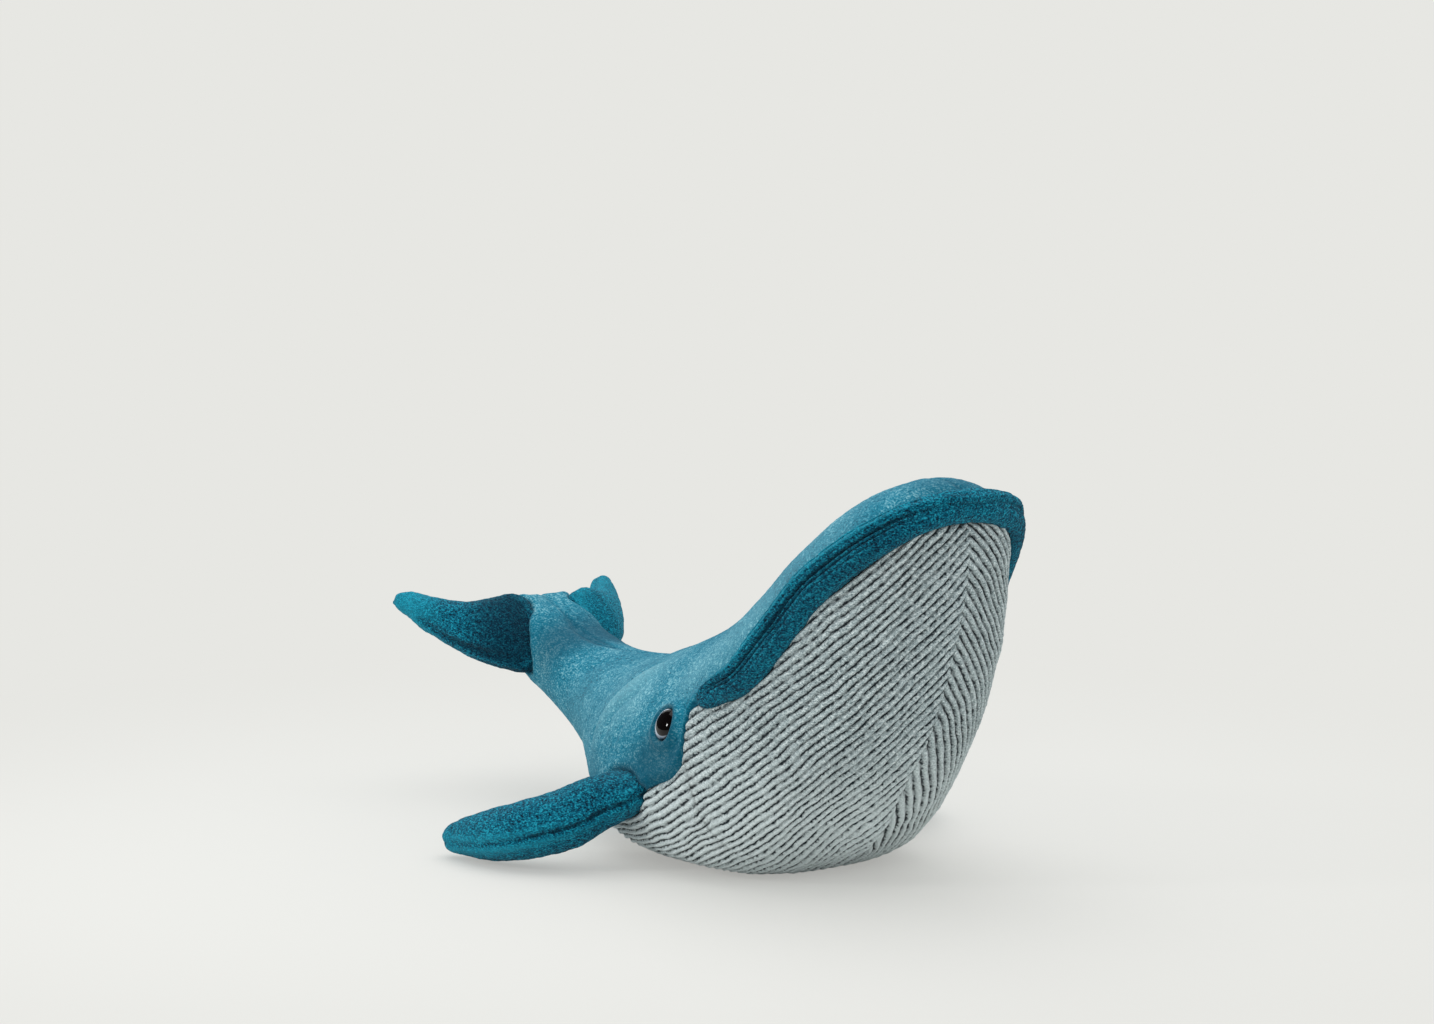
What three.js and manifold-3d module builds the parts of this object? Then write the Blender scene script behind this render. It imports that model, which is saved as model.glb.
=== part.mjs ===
// A plush whale that sits on its flat belly with its head raised, in millimetres.
// It faces -Y, its right side is -X and +Z is up.
// Places on the animal are written as along (forward), out (to its right) and up.
import * as THREE from "three";
import { mergeVertices } from "three/addons/utils/BufferGeometryUtils.js";
import Module from "manifold-3d";

const wasm = await Module();
wasm.setup();

// Body and head
const BODY_LENGTH = 430; // nose to the end of the tail stock
const BODY_HEIGHT = 237; // resting face to the top of the snout
const BODY_HALF_WIDTH = 91; // at the flippers
const FLAT_DEPTH = 0.5; // what the resting face cuts off the belly
const COVER = 3; // plush fabric with its pile
const SEAM_GAP = 0.3; // between pieces that are sewn or laid together
const RUNNING_GAP = 0.5; // between pieces that turn in each other

// Tail joint: the stock turns on a round knuckle inside the body's end
const KNUCKLE_RADIUS = 49;

// Lip roll
const LIP_WIDTH = 24;
const LIP_THICKNESS = 7;
const LIP_ROOT = 4; // how far its blank reaches into the head before it is cut
const LIP_END = 9; // length of the rounding at each mouth corner
const LIP_CHANNEL_DEPTH = 1.3;

// Eyes
const EYE_RADIUS = 10;
const EYE_HEIGHT = 5.5;
const EYE_RIM = 1; // straight edge under the dome
const STEM_RADIUS = 2.4;
const STEM_LENGTH = 12; // from the back of the dome
const WASHER_RADIUS = 8;
const WASHER_THICKNESS = 2;
const STEM_CLEARANCE = 0.3;

// Bean pouch in the seat of the belly
const POUCH_LENGTH = 112;
const POUCH_WIDTH = 94;
const POUCH_HEIGHT = 32;

// Flippers
const FLIPPER_REACH = 73; // root to tip, square to the root
const FLIPPER_SWEEP = 80; // root to tip, along the root
const FLIPPER_ROOT_CHORD = 42;
const FLIPPER_ROOT_THICKNESS = 31;
const FLIPPER_TIP_ROUND = 13;
const FLIPPER_DROP_DEG = 17; // below level, from root to tip
const FLIPPER_ROLL_DEG = 5; // the rear edge hangs lower than the front edge
const FLIPPER_SWING_DEG = 48; // furthest from square to the body that the joint lets it turn

// Tail flukes
const FLUKE_REACH = 87;
const FLUKE_ROOT_CHORD = 52;
const FLUKE_ROOT_THICKNESS = 26;
const FLUKE_TIP_ROUND = 8;
const FLUKE_FOLD_DEG = 28;

// How fine the faceted surfaces are
const BODY_TURNS = 20;
const BODY_STEPS = 23;
const LIMB_TURNS = 12;
const LIMB_STEPS = 7;
const CAP_STEPS = 2;
const SOCKET_TURNS = 24;
const SEAM_STEPS = 18;
const KNUCKLE_STEPS = 16;
const LIP_STATIONS = 29;
const EYE_TURNS = 16;
const WASHER_TURNS = 12;
const POUCH_TURNS = 16;

const CUT = 2 * BODY_LENGTH; // overrun of every cutting shape

const PLUSH = new THREE.MeshStandardMaterial({ color: 0x4f93ac, roughness: 0.95, metalness: 0 });
const DARK_PLUSH = new THREE.MeshStandardMaterial({ color: 0x0c5f7c, roughness: 0.95, metalness: 0 });
const RIBBED_PLUSH = new THREE.MeshStandardMaterial({ color: 0x9aa8aa, roughness: 0.95, metalness: 0 });
const FIBRE = new THREE.MeshStandardMaterial({ color: 0xf1f0ea, roughness: 1, metalness: 0 });
const POUCH_CLOTH = new THREE.MeshStandardMaterial({ color: 0xd9d4c6, roughness: 0.9, metalness: 0 });
const EYE_PLASTIC = new THREE.MeshStandardMaterial({ color: 0x0a0a0c, roughness: 0.08, metalness: 0 });
const WASHER_PLASTIC = new THREE.MeshStandardMaterial({ color: 0xe8e8e4, roughness: 0.5, metalness: 0 });

// The body's sections from the nose to the tail end, as shares of its length, height and
// half width: back along and up, belly along and up, half width, and how far up the
// section its widest line lies. The last two are how square it is under and over that line.
const bodyShares = [
  [0.426, 0.916, 0.426, 0.916, 0.0, 0.5, 2.0, 2.0],
  [0.423, 0.962, 0.426, 0.844, 0.22, 0.55, 2.0, 2.0],
  [0.4, 0.996, 0.419, 0.743, 0.407, 0.58, 2.1, 2.0],
  [0.346, 0.998, 0.398, 0.608, 0.56, 0.58, 2.1, 2.0],
  [0.27, 0.95, 0.363, 0.447, 0.692, 0.56, 2.2, 2.1],
  [0.19, 0.85, 0.305, 0.283, 0.802, 0.53, 2.3, 2.1],
  [0.1, 0.718, 0.228, 0.122, 0.901, 0.49, 2.4, 2.05],
  [0.005, 0.612, 0.135, 0.015, 0.978, 0.44, 2.8, 2.0],
  [-0.084, 0.544, 0.023, 0.0, 1.0, 0.4, 3.4, 2.0],
  [-0.167, 0.494, -0.098, 0.0, 0.934, 0.39, 3.2, 2.0],
  [-0.242, 0.46, -0.209, 0.025, 0.747, 0.42, 2.6, 2.0],
  [-0.319, 0.443, -0.298, 0.101, 0.56, 0.46, 2.2, 2.0],
  [-0.4, 0.443, -0.386, 0.169, 0.429, 0.48, 2.1, 2.0],
  [-0.484, 0.468, -0.47, 0.219, 0.341, 0.5, 2.0, 2.3],
  [-0.558, 0.519, -0.535, 0.262, 0.285, 0.5, 2.0, 2.6],
  [-0.603, 0.548, -0.578, 0.3, 0.25, 0.5, 2.0, 3.0],
  [-0.622, 0.51, -0.608, 0.36, 0.16, 0.5, 2.0, 2.6],
  [-0.625, 0.44, -0.625, 0.44, 0.0, 0.5, 2.0, 2.0],
];

// Side view of the seam between the blue back and the ribbed belly, nose first, as shares of
// the body's length and height
const seamShares = [
  [0.5, 0.94],
  [0.426, 0.909],
  [0.401, 0.862],
  [0.358, 0.796],
  [0.313, 0.725],
  [0.271, 0.635],
  [0.236, 0.557],
  [0.198, 0.495],
  [0.155, 0.464],
  [0.112, 0.445],
  [0.084, 0.43],
  [0.082, 0.37],
  [0.084, 0.31],
  [0.065, 0.255],
  [0.02, 0.22],
  [-0.06, 0.14],
  [-0.15, 0.1],
  [-0.26, 0.06],
  [-0.34, 0.0],
];

// The middle of the lip roll from a mouth corner to the nose: shares of the body's length,
// half width and height
const lipShares = [
  [0.12, 0.885, 0.462],
  [0.152, 0.875, 0.487],
  [0.185, 0.859, 0.518],
  [0.215, 0.827, 0.57],
  [0.245, 0.785, 0.636],
  [0.271, 0.745, 0.693],
  [0.298, 0.698, 0.751],
  [0.328, 0.644, 0.799],
  [0.363, 0.562, 0.85],
  [0.401, 0.427, 0.904],
  [0.421, 0.22, 0.936],
  [0.425, 0.0, 0.944],
];
const lipWidthShares = [0.76, 1.0, 0.78]; // at the mouth corner, halfway and at the nose
const LIP_CHANNELS = 2;

// Places on the right side, as shares of the body's length, half width and height
const eyePlaceShares = [0.035, 0.93, 0.376];
const flipperPlaceShares = [-0.047, 0.98, 0.168];
const flukeFrontShares = [-0.512, 0.297, 0.354];
const flukeRearShares = [-0.565, 0.176, 0.544];
const flukeTipShares = [-0.723, 0.874, 0.523];

// Side view of the plane between the stuffing of the head and of the torso, top and bottom
const neckShares = [
  [-0.07, 0.65],
  [0.03, -0.05],
];
const pivotShares = [-0.31, 0.27]; // the tail's hinge, in side view
const pouchShares = [-0.03, 0.02]; // the middle of the bean pouch, in side view

// A flipper's and a fluke's outline from root to tip: front edge out and ahead, rear edge out
// and ahead, as shares of reach and of the sweep or root chord, then half thickness as a share
// of the root's
const flipperShares = [
  [0.0, 0.241, 0.0, -0.241, 1.0],
  [0.17, 0.15, 0.1, -0.333, 1.06],
  [0.36, 0.046, 0.19, -0.414, 1.09],
  [0.58, -0.092, 0.29, -0.506, 1.09],
  [0.76, -0.253, 0.41, -0.609, 1.06],
  [0.9, -0.46, 0.53, -0.736, 0.97],
  [0.975, -0.69, 0.64, -0.874, 0.84],
  [1.0, -0.897, 0.76, -1.0, 0.66],
];
const flukeShares = [
  [0.0, 0.5, 0.0, -0.5, 1.0],
  [0.14, 0.452, 0.14, -0.494, 1.06],
  [0.345, 0.308, 0.3, -0.5, 1.04],
  [0.54, 0.135, 0.506, -0.538, 0.95],
  [0.71, -0.067, 0.69, -0.625, 0.8],
  [0.87, -0.288, 0.862, -0.731, 0.63],
  [1.0, -0.519, 0.989, -0.808, 0.48],
];

// Points and frames

const place = (along, out, up) => new THREE.Vector3(-out, -along, up);

const placeOnBody = ([along, out, up]) =>
  place(along * BODY_LENGTH, out * BODY_HALF_WIDTH, up * BODY_HEIGHT);

const inSideView = ([along, up]) => new THREE.Vector2(along * BODY_LENGTH, up * BODY_HEIGHT);

const SIDE_VIEW = new THREE.Matrix4().makeBasis(place(1, 0, 0), place(0, 0, 1), place(0, 1, 0));

// A row of a table at a fractional place, on a smooth curve through the rows.
function rowAt(table, at) {
  const first = Math.min(Math.floor(at), table.length - 2);
  const f = at - first;
  const near = table[first];
  const far = table[first + 1];
  const before = table[first - 1] ?? near.map((value, k) => 2 * value - far[k]);
  const after = table[first + 2] ?? far.map((value, k) => 2 * value - near[k]);
  return near.map((value, k) => {
    const slope = (far[k] - before[k]) / 2;
    const nextSlope = (after[k] - value) / 2;
    const rise = far[k] - value;
    return value + f * slope + f * f * (3 * rise - 2 * slope - nextSlope)
      + f * f * f * (slope + nextSlope - 2 * rise);
  });
}

const rounded = (value, square) => Math.sign(value) * Math.abs(value) ** (2 / square);

// Solids

function solidOf(geometry) {
  const bare = geometry.clone();
  bare.deleteAttribute("normal");
  bare.deleteAttribute("uv");
  const merged = mergeVertices(bare);
  return new wasm.Manifold(
    new wasm.Mesh({
      numProp: 3,
      vertProperties: merged.attributes.position.array,
      triVerts: new Uint32Array(merged.index.array),
    }),
  );
}

function geometryOf(solid) {
  const mesh = solid.getMesh();
  const geometry = new THREE.BufferGeometry();
  geometry.setAttribute("position", new THREE.BufferAttribute(mesh.vertProperties, 3));
  geometry.setIndex(new THREE.BufferAttribute(mesh.triVerts, 1));
  return geometry;
}

// A solid seen in the mirror of the whale's middle plane.
function mirrored(solid) {
  const geometry = geometryOf(solid);
  geometry.scale(-1, 1, 1);
  const { array } = geometry.index;
  for (let k = 0; k < array.length; k += 3) [array[k], array[k + 1]] = [array[k + 1], array[k]];
  return solidOf(geometry);
}

const withoutBothSides = (solid, cutter) => solid.subtract(cutter).subtract(mirrored(cutter));

// An outline in side view, cut right through the whale between two distances out.
function sideCutter(outline, from = -CUT, to = CUT) {
  const geometry = new THREE.ExtrudeGeometry(new THREE.Shape(outline), {
    depth: to - from,
    bevelEnabled: false,
  });
  geometry.translate(0, 0, from);
  return solidOf(geometry.applyMatrix4(SIDE_VIEW));
}

// The same line moved sideways, to its left as it is walked.
function besideLine(points, distance) {
  return points.map((point, k) => {
    const before = points[Math.max(k - 1, 0)];
    const after = points[Math.min(k + 1, points.length - 1)];
    const heading = after.clone().sub(before).normalize();
    return new THREE.Vector2(point.x - heading.y * distance, point.y + heading.x * distance);
  });
}

// Round closed surfaces: rings between a first and a last point

// The outward direction at each point of a surface.
function normalsOf({ first, rings, last }) {
  const rows = rings.map((ring, i) =>
    ring.map((point, k) => {
      const before = i > 0 ? rings[i - 1][k] : first;
      const after = i < rings.length - 1 ? rings[i + 1][k] : last;
      const along = after.clone().sub(before);
      const left = ring[(k + ring.length - 1) % ring.length];
      const right = ring[(k + 1) % ring.length];
      return along.cross(right.clone().sub(left)).normalize();
    }),
  );
  const middle = (ring) =>
    ring.reduce((sum, point) => sum.add(point), new THREE.Vector3()).divideScalar(ring.length);
  return {
    first: first.clone().sub(middle(rings[0])).normalize(),
    rings: rows,
    last: last.clone().sub(middle(rings[rings.length - 1])).normalize(),
  };
}

// The surface moved outward by a distance, or inward where the distance is negative.
function grown(surface, distance) {
  const normals = normalsOf(surface);
  return {
    first: surface.first.clone().addScaledVector(normals.first, distance),
    rings: surface.rings.map((ring, i) =>
      ring.map((point, k) => point.clone().addScaledVector(normals.rings[i][k], distance)),
    ),
    last: surface.last.clone().addScaledVector(normals.last, distance),
  };
}

// The second half of each ring is faceted as the mirror image of the first.
function surfaceGeometry({ first, rings, last }) {
  const turns = rings[0].length;
  const points = [first, ...rings.flat(), last];
  const index = [];
  const at = (ring, turn) => 1 + ring * turns + (turn % turns);
  for (let turn = 0; turn < turns; turn += 1) {
    index.push(0, at(0, turn), at(0, turn + 1));
    for (let ring = 0; ring < rings.length - 1; ring += 1) {
      const [a, b] = [at(ring, turn), at(ring + 1, turn)];
      const [c, d] = [at(ring, turn + 1), at(ring + 1, turn + 1)];
      index.push(...(turn < turns / 2 ? [a, b, c, c, b, d] : [a, b, d, d, c, a]));
    }
    index.push(points.length - 1, at(rings.length - 1, turn + 1), at(rings.length - 1, turn));
  }
  const geometry = new THREE.BufferGeometry().setFromPoints(points);
  geometry.setIndex(index);
  return geometry;
}

const surfaceSolid = (surface) => solidOf(surfaceGeometry(surface));

// Body

const bodyEnd = bodyShares.length - 1;

// Beyond the nose the back and the belly change places, so that the surface is smooth there.
const bodyTable = [
  ...bodyShares.slice(1, 3).reverse().map(
    ([backAlong, backUp, bellyAlong, bellyUp, wide, middle, under, over]) =>
      [bellyAlong, bellyUp, backAlong, backUp, -wide, 1 - middle, over, under],
  ),
  ...bodyShares,
];

function bodySection(at) {
  const [backAlong, backUp, bellyAlong, bellyUp, wide, middle, under, over] =
    rowAt(bodyTable, at + bodyTable.length - bodyShares.length);
  const back = placeOnBody([backAlong, 0, backUp]);
  const belly = placeOnBody([bellyAlong, 0, bellyUp]).sub(place(0, 0, FLAT_DEPTH));
  const centre = belly.clone().lerp(back, middle);
  const halfWidth = wide * BODY_HALF_WIDTH;
  return { back, belly, centre, halfWidth, under, over };
}

// A point of the body: at along the table, and an angle from the back over the right side.
function bodyPoint(at, angle) {
  const { back, belly, centre, halfWidth, under, over } = bodySection(at);
  const up = Math.cos(angle);
  const square = up > 0 ? over : under;
  const edge = up > 0 ? back : belly;
  const out = halfWidth * rounded(Math.sin(angle), square);
  const point = centre.clone().lerp(edge, Math.abs(rounded(up, square)));
  return point.add(place(0, out, 0));
}

const bodySurface = {
  first: bodyPoint(0, 0),
  rings: Array.from({ length: BODY_STEPS }, (_, i) =>
    Array.from({ length: BODY_TURNS }, (__, k) =>
      bodyPoint((bodyEnd * (i + 1)) / (BODY_STEPS + 1), (2 * Math.PI * k) / BODY_TURNS),
    ),
  ),
  last: bodySection(bodyEnd).centre,
};

// The body's surface point nearest to a place on the right side, with its outward direction.
function onBody(target) {
  let best = { distance: Infinity };
  let span = { at: bodyEnd / 2, angle: Math.PI / 2 };
  let middle = { at: bodyEnd / 2, angle: Math.PI / 2 };
  const divisions = 12;
  for (let round = 0; round < divisions; round += 1) {
    for (let i = -divisions; i <= divisions; i += 1) {
      for (let k = -divisions; k <= divisions; k += 1) {
        const at = THREE.MathUtils.clamp(middle.at + (span.at * i) / divisions, 0, bodyEnd);
        const angle = middle.angle + (span.angle * k) / divisions;
        const point = bodyPoint(at, angle);
        const distance = point.distanceTo(target);
        if (distance < best.distance) best = { distance, point, at, angle };
      }
    }
    middle = { at: best.at, angle: best.angle };
    span = { at: span.at / 2, angle: span.angle / 2 };
  }
  const step = 1 / SEAM_STEPS;
  const along = bodyPoint(best.at + step, best.angle).sub(bodyPoint(best.at - step, best.angle));
  const around = bodyPoint(best.at, best.angle + step).sub(bodyPoint(best.at, best.angle - step));
  return { point: best.point, normal: along.cross(around).normalize() };
}

const floor = new THREE.BoxGeometry(CUT, CUT, CUT).translate(0, 0, -CUT / 2);
const bodySolid = surfaceSolid(bodySurface).subtract(solidOf(floor));
const innerFloor = floor.clone().translate(0, 0, COVER);
const liningSolid = surfaceSolid(grown(bodySurface, -COVER)).subtract(solidOf(innerFloor));
const stuffingFloor = innerFloor.clone().translate(0, 0, SEAM_GAP);
const stuffingSpace = surfaceSolid(grown(bodySurface, -COVER - SEAM_GAP))
  .intersect(liningSolid)
  .subtract(solidOf(stuffingFloor));
const aroundBody = surfaceSolid(grown(bodySurface, SEAM_GAP));
const skin = bodySolid.subtract(liningSolid);

// The tail's side of the joint: all that lies behind the hinge, and its round knuckle
const pivot = inSideView(pivotShares);

function tailOutline(radius) {
  const arc = Array.from({ length: KNUCKLE_STEPS + 1 }, (_, k) => {
    const angle = Math.PI / 2 - (Math.PI * k) / KNUCKLE_STEPS;
    return new THREE.Vector2(
      pivot.x + radius * Math.cos(angle),
      pivot.y + radius * Math.sin(angle),
    );
  });
  const behind = [
    new THREE.Vector2(pivot.x - CUT, -CUT),
    new THREE.Vector2(pivot.x - CUT, CUT),
  ];
  return [...arc, ...behind];
}

const tailRegion = sideCutter(tailOutline(KNUCKLE_RADIUS));
const tailHole = sideCutter(tailOutline(KNUCKLE_RADIUS + RUNNING_GAP));

// The belly's side of the seam
const seamLine = new THREE.SplineCurve(seamShares.map(inSideView)).getPoints(SEAM_STEPS);

function bellyRegion(distance) {
  const line = besideLine(seamLine, distance);
  const under = [
    new THREE.Vector2(line[line.length - 1].x, -CUT),
    new THREE.Vector2(CUT, -CUT),
    new THREE.Vector2(CUT, line[0].y),
  ];
  return sideCutter([...line, ...under], SEAM_GAP / 2);
}

const rightHalf = sideCutter(
  [
    new THREE.Vector2(-CUT, -CUT),
    new THREE.Vector2(CUT, -CUT),
    new THREE.Vector2(CUT, CUT),
    new THREE.Vector2(-CUT, CUT),
  ],
  SEAM_GAP / 2,
);

// The stuffing ahead of the neck
const neckLine = neckShares.map(inSideView);

function headRegion(distance) {
  const [top, bottom] = besideLine(neckLine, distance);
  const slope = bottom.clone().sub(top).normalize();
  const high = top.clone().addScaledVector(slope, -CUT);
  const low = bottom.clone().addScaledVector(slope, CUT);
  return sideCutter([high, low, new THREE.Vector2(2 * CUT, -CUT), new THREE.Vector2(2 * CUT, CUT)]);
}

// Limbs, in a frame of their own: X out from the root, Y from the rear edge to the front
// edge, Z over the top, and the hinge along Y through the origin

// The closed surface of a limb: a root rounded about its hinge, the outline, a round tip.
function limbSurface({ rows, rootChord, rootThickness, tipRound }) {
  const ring = (centre, halfChord, halfThickness) =>
    Array.from({ length: LIMB_TURNS }, (_, k) => {
      const angle = (2 * Math.PI * k) / LIMB_TURNS;
      const point = centre.clone().addScaledVector(halfChord, -Math.cos(angle));
      point.z += halfThickness * Math.sin(angle);
      return point;
    });
  const rootHalf = new THREE.Vector3(0, rootChord / 2, 0);
  const rootCap = Array.from({ length: CAP_STEPS }, (_, k) => {
    const angle = (Math.PI / 2) * (1 - (k + 1) / (CAP_STEPS + 1));
    const centre = new THREE.Vector3((-rootThickness / 2) * Math.sin(angle), 0, 0);
    const halfChord = rootHalf.clone().multiplyScalar(Math.cos(angle));
    return ring(centre, halfChord, (rootThickness / 2) * Math.cos(angle));
  });
  const sections = Array.from({ length: LIMB_STEPS + 1 }, (_, k) => {
    const [frontOut, frontAhead, rearOut, rearAhead, halfThickness] =
      rowAt(rows, ((rows.length - 1) * k) / LIMB_STEPS);
    const front = new THREE.Vector3(frontOut, frontAhead, 0);
    const rear = new THREE.Vector3(rearOut, rearAhead, 0);
    const centre = front.clone().lerp(rear, 1 / 2);
    return { centre, halfChord: front.sub(rear).divideScalar(2), halfThickness };
  });
  const tip = sections[sections.length - 1];
  const onward = new THREE.Vector3(tip.halfChord.y, -tip.halfChord.x, 0).normalize();
  const tipCap = Array.from({ length: CAP_STEPS }, (_, k) => {
    const angle = ((Math.PI / 2) * (k + 1)) / (CAP_STEPS + 1);
    const centre = tip.centre.clone().addScaledVector(onward, tipRound * Math.sin(angle));
    const halfChord = tip.halfChord.clone().multiplyScalar(Math.cos(angle));
    return ring(centre, halfChord, tip.halfThickness * Math.cos(angle));
  });
  return {
    first: new THREE.Vector3(-rootThickness / 2, 0, 0),
    rings: [
      ...rootCap,
      ...sections.map(({ centre, halfChord, halfThickness }) =>
        ring(centre, halfChord, halfThickness),
      ),
      ...tipCap,
    ],
    last: tip.centre.clone().addScaledVector(onward, tipRound),
  };
}

// The hollow that a limb's rounded root turns in.
function socketGeometry({ rootChord, rootThickness }) {
  const radius = rootThickness / 2 + RUNNING_GAP;
  const half = rootChord / 2 + RUNNING_GAP;
  const profile = Array.from({ length: SOCKET_TURNS / 2 + 1 }, (_, k) => {
    const angle = (2 * Math.PI * k) / SOCKET_TURNS;
    return new THREE.Vector2(k % (SOCKET_TURNS / 2) ? radius * Math.sin(angle) : 0, -half * Math.cos(angle));
  });
  return new THREE.LatheGeometry(profile, SOCKET_TURNS);
}

// A limb's two covers and its stuffing, as solids in its own frame.
function limbPieces(limb) {
  const surface = limbSurface(limb);
  const outer = surfaceSolid(surface);
  const shell = outer.subtract(surfaceSolid(grown(surface, -COVER)));
  const above = new THREE.BoxGeometry(CUT, CUT, CUT).translate(0, 0, (CUT + SEAM_GAP) / 2);
  const below = new THREE.BoxGeometry(CUT, CUT, CUT).translate(0, 0, -(CUT + SEAM_GAP) / 2);
  return {
    top_cover: shell.intersect(solidOf(above)),
    under_cover: shell.intersect(solidOf(below)),
    stuffing: surfaceSolid(grown(surface, -COVER - SEAM_GAP)),
  };
}

const scaledRows = (rows, reach, run, halfThickness) =>
  rows.map(([frontOut, frontAhead, rearOut, rearAhead, thick]) => [
    frontOut * reach,
    frontAhead * run,
    rearOut * reach,
    rearAhead * run,
    thick * halfThickness,
  ]);

const flipper = {
  rows: scaledRows(flipperShares, FLIPPER_REACH, FLIPPER_SWEEP, FLIPPER_ROOT_THICKNESS / 2),
  rootChord: FLIPPER_ROOT_CHORD,
  rootThickness: FLIPPER_ROOT_THICKNESS,
  tipRound: FLIPPER_TIP_ROUND,
};

const fluke = {
  rows: scaledRows(flukeShares, FLUKE_REACH, FLUKE_ROOT_CHORD, FLUKE_ROOT_THICKNESS / 2),
  rootChord: FLUKE_ROOT_CHORD,
  rootThickness: FLUKE_ROOT_THICKNESS,
  tipRound: FLUKE_TIP_ROUND,
};

// The flipper's root sits against the body's side, clear of it wherever the flipper turns to.
const flipperSeat = onBody(placeOnBody(flipperPlaceShares));
const flipperStandoff =
  (FLIPPER_ROOT_THICKNESS / 2) * Math.sin(THREE.MathUtils.degToRad(FLIPPER_SWING_DEG)) + RUNNING_GAP;
const flipperRoot = flipperSeat.point.clone().addScaledVector(flipperSeat.normal, flipperStandoff);

const limbFrame = (root, out, ahead) =>
  new THREE.Matrix4().makeBasis(out, ahead, out.clone().cross(ahead)).setPosition(root);

function flipperFrame() {
  const ahead = place(1, 0, 0);
  ahead.addScaledVector(flipperSeat.normal, -ahead.dot(flipperSeat.normal)).normalize();
  ahead.applyAxisAngle(flipperSeat.normal, THREE.MathUtils.degToRad(FLIPPER_ROLL_DEG));
  const level = ahead.clone().cross(place(0, 0, 1)).normalize();
  const out = level.applyAxisAngle(ahead, THREE.MathUtils.degToRad(FLIPPER_DROP_DEG));
  return limbFrame(flipperRoot, out, ahead);
}

// A fluke's root runs along the side of the tail's end.
const flukeFront = placeOnBody(flukeFrontShares);
const flukeRear = placeOnBody(flukeRearShares);
const flukeRoot = flukeFront.clone().lerp(flukeRear, 1 / 2);

function flukeFrame() {
  const ahead = flukeFront.clone().sub(flukeRear).normalize();
  const out = placeOnBody(flukeTipShares).sub(flukeRoot);
  out.addScaledVector(ahead, -out.dot(ahead)).normalize();
  return limbFrame(flukeRoot, out, ahead);
}

const flipperPlace = flipperFrame();
const flukePlace = flukeFrame();
const flipperSocket = solidOf(socketGeometry(flipper).applyMatrix4(flipperPlace));

// The room in the tail's end for a fluke's root as the fluke folds up and down.
function foldingRoom() {
  const blank = surfaceSolid(grown(limbSurface(fluke), RUNNING_GAP));
  const root = blank.trimByPlane([-1, 0, 0], -FLUKE_ROOT_THICKNESS);
  const folds = [-FLUKE_FOLD_DEG, 0, FLUKE_FOLD_DEG].map((angle) => root.rotate([0, angle, 0]));
  const room = geometryOf(wasm.Manifold.hull(folds));
  return solidOf(room.applyMatrix4(flukePlace));
}

// Eyes: a plastic dome on a stem that a washer holds behind the fabric

const eyeSeat = onBody(placeOnBody(eyePlaceShares));

// A turned shape standing on the body where the eye is, its axis along the outward direction.
function turnedAtEye(profile, turns = EYE_TURNS) {
  const points = profile.map(([radius, height]) => new THREE.Vector2(radius, height));
  const geometry = new THREE.LatheGeometry(points, turns);
  const upright = new THREE.Vector3(0, 1, 0);
  const turn = new THREE.Quaternion().setFromUnitVectors(upright, eyeSeat.normal);
  geometry.applyQuaternion(turn);
  return solidOf(geometry.translate(...eyeSeat.point.toArray()));
}

const disc = (radius, from, to) => [[0, from], [radius, from], [radius, to], [0, to]];

const domeSteps = 6;
const domeProfile = Array.from({ length: domeSteps + 1 }, (_, k) => {
  const angle = (Math.PI * k) / (2 * domeSteps);
  const rise = (EYE_HEIGHT - EYE_RIM) * Math.sin(angle);
  return [k < domeSteps ? EYE_RADIUS * Math.cos(angle) : 0, EYE_RIM + rise];
});
const eyeDome = turnedAtEye([[0, -EYE_RIM], [EYE_RADIUS, -EYE_RIM], ...domeProfile]);
const eyeStem = turnedAtEye(disc(STEM_RADIUS, -STEM_LENGTH, EYE_RIM), WASHER_TURNS);
const stemHole = turnedAtEye(
  disc(STEM_RADIUS + STEM_CLEARANCE, -STEM_LENGTH - SEAM_GAP, COVER),
  WASHER_TURNS,
);
const washerBack = COVER + WASHER_THICKNESS + WASHER_THICKNESS / 2;
const washerBlank = turnedAtEye(disc(WASHER_RADIUS, -washerBack, 0), WASHER_TURNS);
const washerPocket = turnedAtEye(
  disc(WASHER_RADIUS + SEAM_GAP, -washerBack - SEAM_GAP, 0),
  WASHER_TURNS,
);

const eye = eyeDome.subtract(aroundBody).add(eyeStem);
const washer = washerBlank.intersect(stuffingSpace).subtract(stemHole);

// Bean pouch

function pouchSpheroid(extra) {
  const geometry = new THREE.SphereGeometry(1, POUCH_TURNS, POUCH_TURNS / 2);
  geometry.scale(
    POUCH_WIDTH / 2 + extra,
    POUCH_LENGTH / 2 + extra,
    POUCH_HEIGHT / 2 + extra,
  );
  const { x, y } = inSideView(pouchShares);
  return solidOf(geometry.applyMatrix4(new THREE.Matrix4().setPosition(place(x, 0, y))));
}

const pouch = pouchSpheroid(0).intersect(stuffingSpace);

// Lip roll: a padded strip with sewn channels round the edge of the upper jaw

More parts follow.
